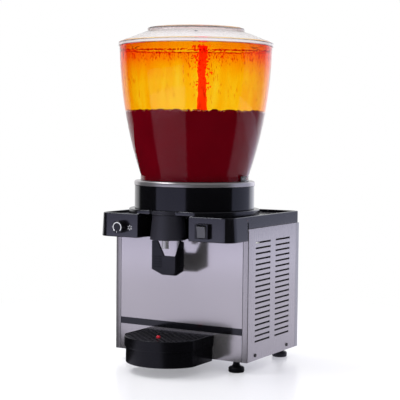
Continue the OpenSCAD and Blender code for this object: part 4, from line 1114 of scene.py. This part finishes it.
class DISPENSER_OT_tap(bpy.types.Operator):
    """Push lever, steel nozzle and valve"""

    bl_idname = "dispenser.tap"
    bl_label = "Tap"

    def ribs(self, black):
        """Level grip ribs across the two wings of the lever, one piece."""
        outer = Vector((0.0374, -0.108, 0.0))
        fold = Vector((0.014, -0.100, 0.0))
        middle = (outer + fold) / 2
        turn = atan2(fold.y - outer.y, outer.x - fold.x)
        size = (0.0175, 0.0011, 0.0016)
        made = [
            slab((side * middle.x, middle.y, height), size, 0.0004, (0.0, 0.0, -side * turn))
            for side in (-1.0, 1.0)
            for height in spread(0.2135, 0.2345, 5)
        ]
        dress(smooth(joined(made, "lever_ribs")), black, "lever")

    def spring(self, steel):
        """The coil round the valve stem: a smoothed merged copy with a mesh of its own."""
        coil = smooth(merged_copy("valve_spring", "valve_spring_coil"))
        stand_in(coil, steel, "cabinet", "valve_spring")
        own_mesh(coil)

    def execute(self, context):
        colours = context.scene.dispenser_finish
        edge = context.scene.dispenser_sizes.edge
        black = moulded_plastic("lever black", colours.black, 0.12, 0.04, 0.3)
        reshape("tap_lever", "push_lever", black, edge * 0.5, body="lever")
        self.ribs(black)
        steel = brushed_steel("nozzle steel", (0.78, 0.77, 0.79, 1.0), 2, 0.5)
        reshape("nozzle", "nozzle_tube", steel, 0.0003, 2)
        self.spring(steel)
        paint(steel, "valve_stem", "lever_pin")
        paint(moulded_plastic("pale tap plastic", (0.72, 0.72, 0.70, 1.0), 0.4), "tap_body")
        rubber = moulded_plastic("seal rubber", (0.02, 0.02, 0.02, 1.0), 0.6, 0.2)
        paint(rubber, "valve_seal", "bowl_gasket")
        return {"FINISHED"}


class DISPENSER_OT_controls(bpy.types.Operator):
    """Thermostat knob with its printed dial, cold mark and switch"""

    bl_idname = "dispenser.controls"
    bl_label = "Controls"

    def knob(self):
        """A round cap, turned lying down and then stood on the front."""
        radius = (KNOB_HIGH.x - KNOB_LOW.x) / 2
        deep = KNOB_HIGH.y - KNOB_LOW.y
        profile = [(POLE, 0.0), (radius, 0.0)]
        profile += rounded(radius, deep, 0.0012, 6)
        profile += [(radius * 0.5, deep), (POLE, deep)]
        knob = lathe("knob_cap", profile, sides=72, closed=False)
        knob.rotation_euler = (pi / 2, 0.0, 0.0)
        knob.location = (KNOB_X, KNOB_HIGH.y, Z_CONTROL)
        return smooth(settle(knob))

    def arc(self, centre, white):
        """The printed ring on the knob, open at its foot."""
        free_hands()
        bpy.ops.mesh.primitive_circle_add(
            vertices=120, radius=0.0105, location=centre, rotation=(pi / 2, 0.0, 0.0)
        )
        arc = settle(call_it(bpy.context.object, "dial_arc"))
        bpy.ops.object.mode_set(mode="EDIT")

        def in_gap(vertex):
            angle = atan2(vertex.co.x - KNOB_X, -(vertex.co.z - Z_CONTROL))
            return abs(angle + 0.08) < radians(49.5)

        select_where(arc, "verts", in_gap)
        bpy.ops.mesh.delete(type="VERT")
        bpy.ops.mesh.select_all(action="SELECT")
        bpy.ops.mesh.extrude_region_move(TRANSFORM_OT_translate={"value": (0.0, 0.0, 0.0)})
        bpy.ops.transform.resize(value=(0.83, 1.0, 0.83), center_override=centre)
        bpy.ops.object.mode_set(mode="OBJECT")
        add_modifier(arc, "SOLIDIFY", thickness=PRINT, offset=0.0)
        dress(arc, white, "knob")

    def arrow(self, centre, white):
        """The printed arrow at the left end of the ring."""
        free_hands()
        away = 0.0096
        angle = radians(220.0)
        tip = (centre[0] + away * cos(angle), centre[1], centre[2] + away * sin(angle))
        bpy.ops.mesh.primitive_circle_add(vertices=3, radius=0.0026, fill_type="NGON", location=tip)
        arrow = call_it(bpy.context.object, "dial_arrow")
        arrow.rotation_euler = (pi / 2, -angle, 0.0)
        settle(arrow)
        add_modifier(arrow, "SOLIDIFY", thickness=PRINT, offset=0.0)
        dress(arrow, white, "knob")

    def bars(self, name, centre, strokes, white, body, slot):
        """Printed strokes on the front as one piece, each from one point to another with a width."""
        made = []
        for start, end, wide in strokes:
            run = Vector(end) - Vector(start)
            middle = (Vector(start) + Vector(end)) / 2
            place = (centre[0] + middle.x, centre[1], centre[2] + middle.y)
            turn = (0.0, -atan2(run.y, run.x), 0.0)
            made.append(slab(place, (run.length, PRINT, wide), wide * 0.3, turn))
        dress(smooth(joined(made, name)), white, body)

    def dial(self, white):
        """White ring, arrow and ticks printed on the face of the knob."""
        centre = (KNOB_X, KNOB_LOW.y, Z_CONTROL)
        self.arc(centre, white)
        self.arrow(centre, white)
        wide = 0.0009
        ticks = [((-0.0124, 0.0), (-0.0108, 0.0), wide), ((-0.001, -0.0112), (-0.001, -0.0082), wide)]
        self.bars("dial_ticks", centre, ticks, white, "knob", "thermostat_knob")

    def cold_mark(self, white):
        """A six armed frost mark beside the knob."""
        inner, outer, wide = 0.0023, 0.0056, 0.0013
        strokes = []
        for i in range(6):
            angle = radians(60.0 * i + 30.0)
            arm = Vector((cos(angle), sin(angle)))
            strokes.append((inner * arm, outer * arm, wide))
        self.bars("cold_mark", (-0.0796, Y_NOSE, 0.2925), strokes, white, "cabinet", "top_tray")

    def execute(self, context):
        colours = context.scene.dispenser_finish
        black = moulded_plastic("knob black", colours.black, 0.28, 0.08)
        stand_in(self.knob(), black, "knob", "thermostat_knob")
        white = moulded_plastic("white print", (0.72, 0.73, 0.76, 1.0), 0.5, 0.02)
        self.dial(white)
        self.cold_mark(white)
        bezel = moulded_plastic("bezel black", colours.black, 0.3, 0.08)
        reshape("switch_body", "switch_bezel", bezel, 0.0006)
        grey = moulded_plastic("paddle grey", colours.paddle, 0.34, 0.08)
        reshape("switch_rocker", "switch_paddle", grey, 0.0006, body="rocker")
        pale = moulded_plastic("pale moulding", (0.62, 0.61, 0.57, 1.0), 0.45)
        paint(pale, "thermostat_body", "junction_box")
        return {"FINISHED"}


class DISPENSER_OT_drip_tray(bpy.types.Operator):
    """Drip tray, its grille and its float"""

    bl_idname = "dispenser.drip_tray"
    bl_label = "Drip tray"

    def execute(self, context):
        colours = context.scene.dispenser_finish
        edge = context.scene.dispenser_sizes.edge
        black = moulded_plastic("tray black", colours.black, 0.22, 0.03, 0.22)
        reshape("drip_tray", "drip_tray_shell", black, edge * 0.8, body="drip_tray")
        dull = moulded_plastic("grille black", colours.black, 0.34, 0.12)
        reshape("drip_grille", "drip_grille_plate", dull, 0.0005, 2, body="grille")
        paint(moulded_plastic("float red", colours.float_red, 0.18, 0.02), "tray_float")
        return {"FINISHED"}


class DISPENSER_OT_inside(bpy.types.Operator):
    """Finishes of the cooling unit, the pump and the cold drum"""

    bl_idname = "dispenser.inside"
    bl_label = "Inside"

    def execute(self, context):
        colours = context.scene.dispenser_finish
        copper = painted_metal("copper tube", (0.62, 0.27, 0.14, 1.0), 0.22, 1.0)
        paint(copper, "evaporator_coil", "condenser_tubes", "discharge_pipe", "suction_pipe")
        paint(copper, "filter_drier", "capillary_tube")
        aluminium = painted_metal("bare aluminium", (0.6, 0.61, 0.63, 1.0), 0.3, 1.0)
        paint(aluminium, "condenser_fins", "fan_rotor")
        paint(painted_metal("black enamel", (0.014, 0.014, 0.016, 1.0), 0.25), "compressor")
        grey = painted_metal("motor paint", (0.09, 0.09, 0.1, 1.0), 0.4)
        paint(grey, "pump_motor", "fan_motor", "drive_magnet")
        paint(painted_metal("bracket plate", (0.42, 0.42, 0.44, 1.0), 0.4, 0.85), "motor_bracket")
        paint(moulded_plastic("shroud plastic", colours.black, 0.4, 0.1), "fan_shroud", "compressor_grommets")
        pale = moulded_plastic("pump plastic", (0.7, 0.7, 0.68, 1.0), 0.35)
        paint(pale, "impeller", "pump_housing", "spray_tube")
        paint(brushed_steel("drawn steel", colours.steel, 2, 0.2), "cold_drum")
        paint(foam("collar foam", (0.75, 0.66, 0.4, 1.0)), "collar_foam")
        return {"FINISHED"}


class DISPENSER_PT_panel(bpy.types.Panel):
    """Steps and settings of the dispenser"""

    bl_idname = "DISPENSER_PT_panel"
    bl_label = "Cold drink dispenser"
    bl_space_type = "VIEW_3D"
    bl_region_type = "UI"
    bl_category = "Dispenser"

    def draw(self, context):
        for step in STEPS:
            self.layout.operator(step.bl_idname)
        for name, kind in GROUPS.items():
            box = self.layout.box()
            for key in kind.__annotations__:
                box.prop(getattr(context.scene, name), key)


STEPS = (
    DISPENSER_OT_stage,
    DISPENSER_OT_cabinet,
    DISPENSER_OT_top,
    DISPENSER_OT_bowl,
    DISPENSER_OT_drink,
    DISPENSER_OT_tap,
    DISPENSER_OT_controls,
    DISPENSER_OT_drip_tray,
    DISPENSER_OT_inside,
)
GROUPS = {
    "dispenser_stage": StageSettings,
    "dispenser_finish": FinishSettings,
    "dispenser_sizes": SizeSettings,
}
CLASSES = (*GROUPS.values(), *STEPS, DISPENSER_PT_panel)


def register():
    for kind in CLASSES:
        bpy.utils.register_class(kind)
    for name, kind in GROUPS.items():
        setattr(bpy.types.Scene, name, PointerProperty(type=kind))


def unregister():
    for name in GROUPS:
        delattr(bpy.types.Scene, name)
    for kind in reversed(CLASSES):
        bpy.utils.unregister_class(kind)


def main():
    register()
    bpy.ops.dispenser.stage()
    bpy.ops.dispenser.cabinet()
    bpy.ops.dispenser.top()
    bpy.ops.dispenser.bowl()
    bpy.ops.dispenser.drink()
    bpy.ops.dispenser.tap()
    bpy.ops.dispenser.controls()
    bpy.ops.dispenser.drip_tray()
    bpy.ops.dispenser.inside()
    free_hands()


if __name__ == "__main__":
    main()
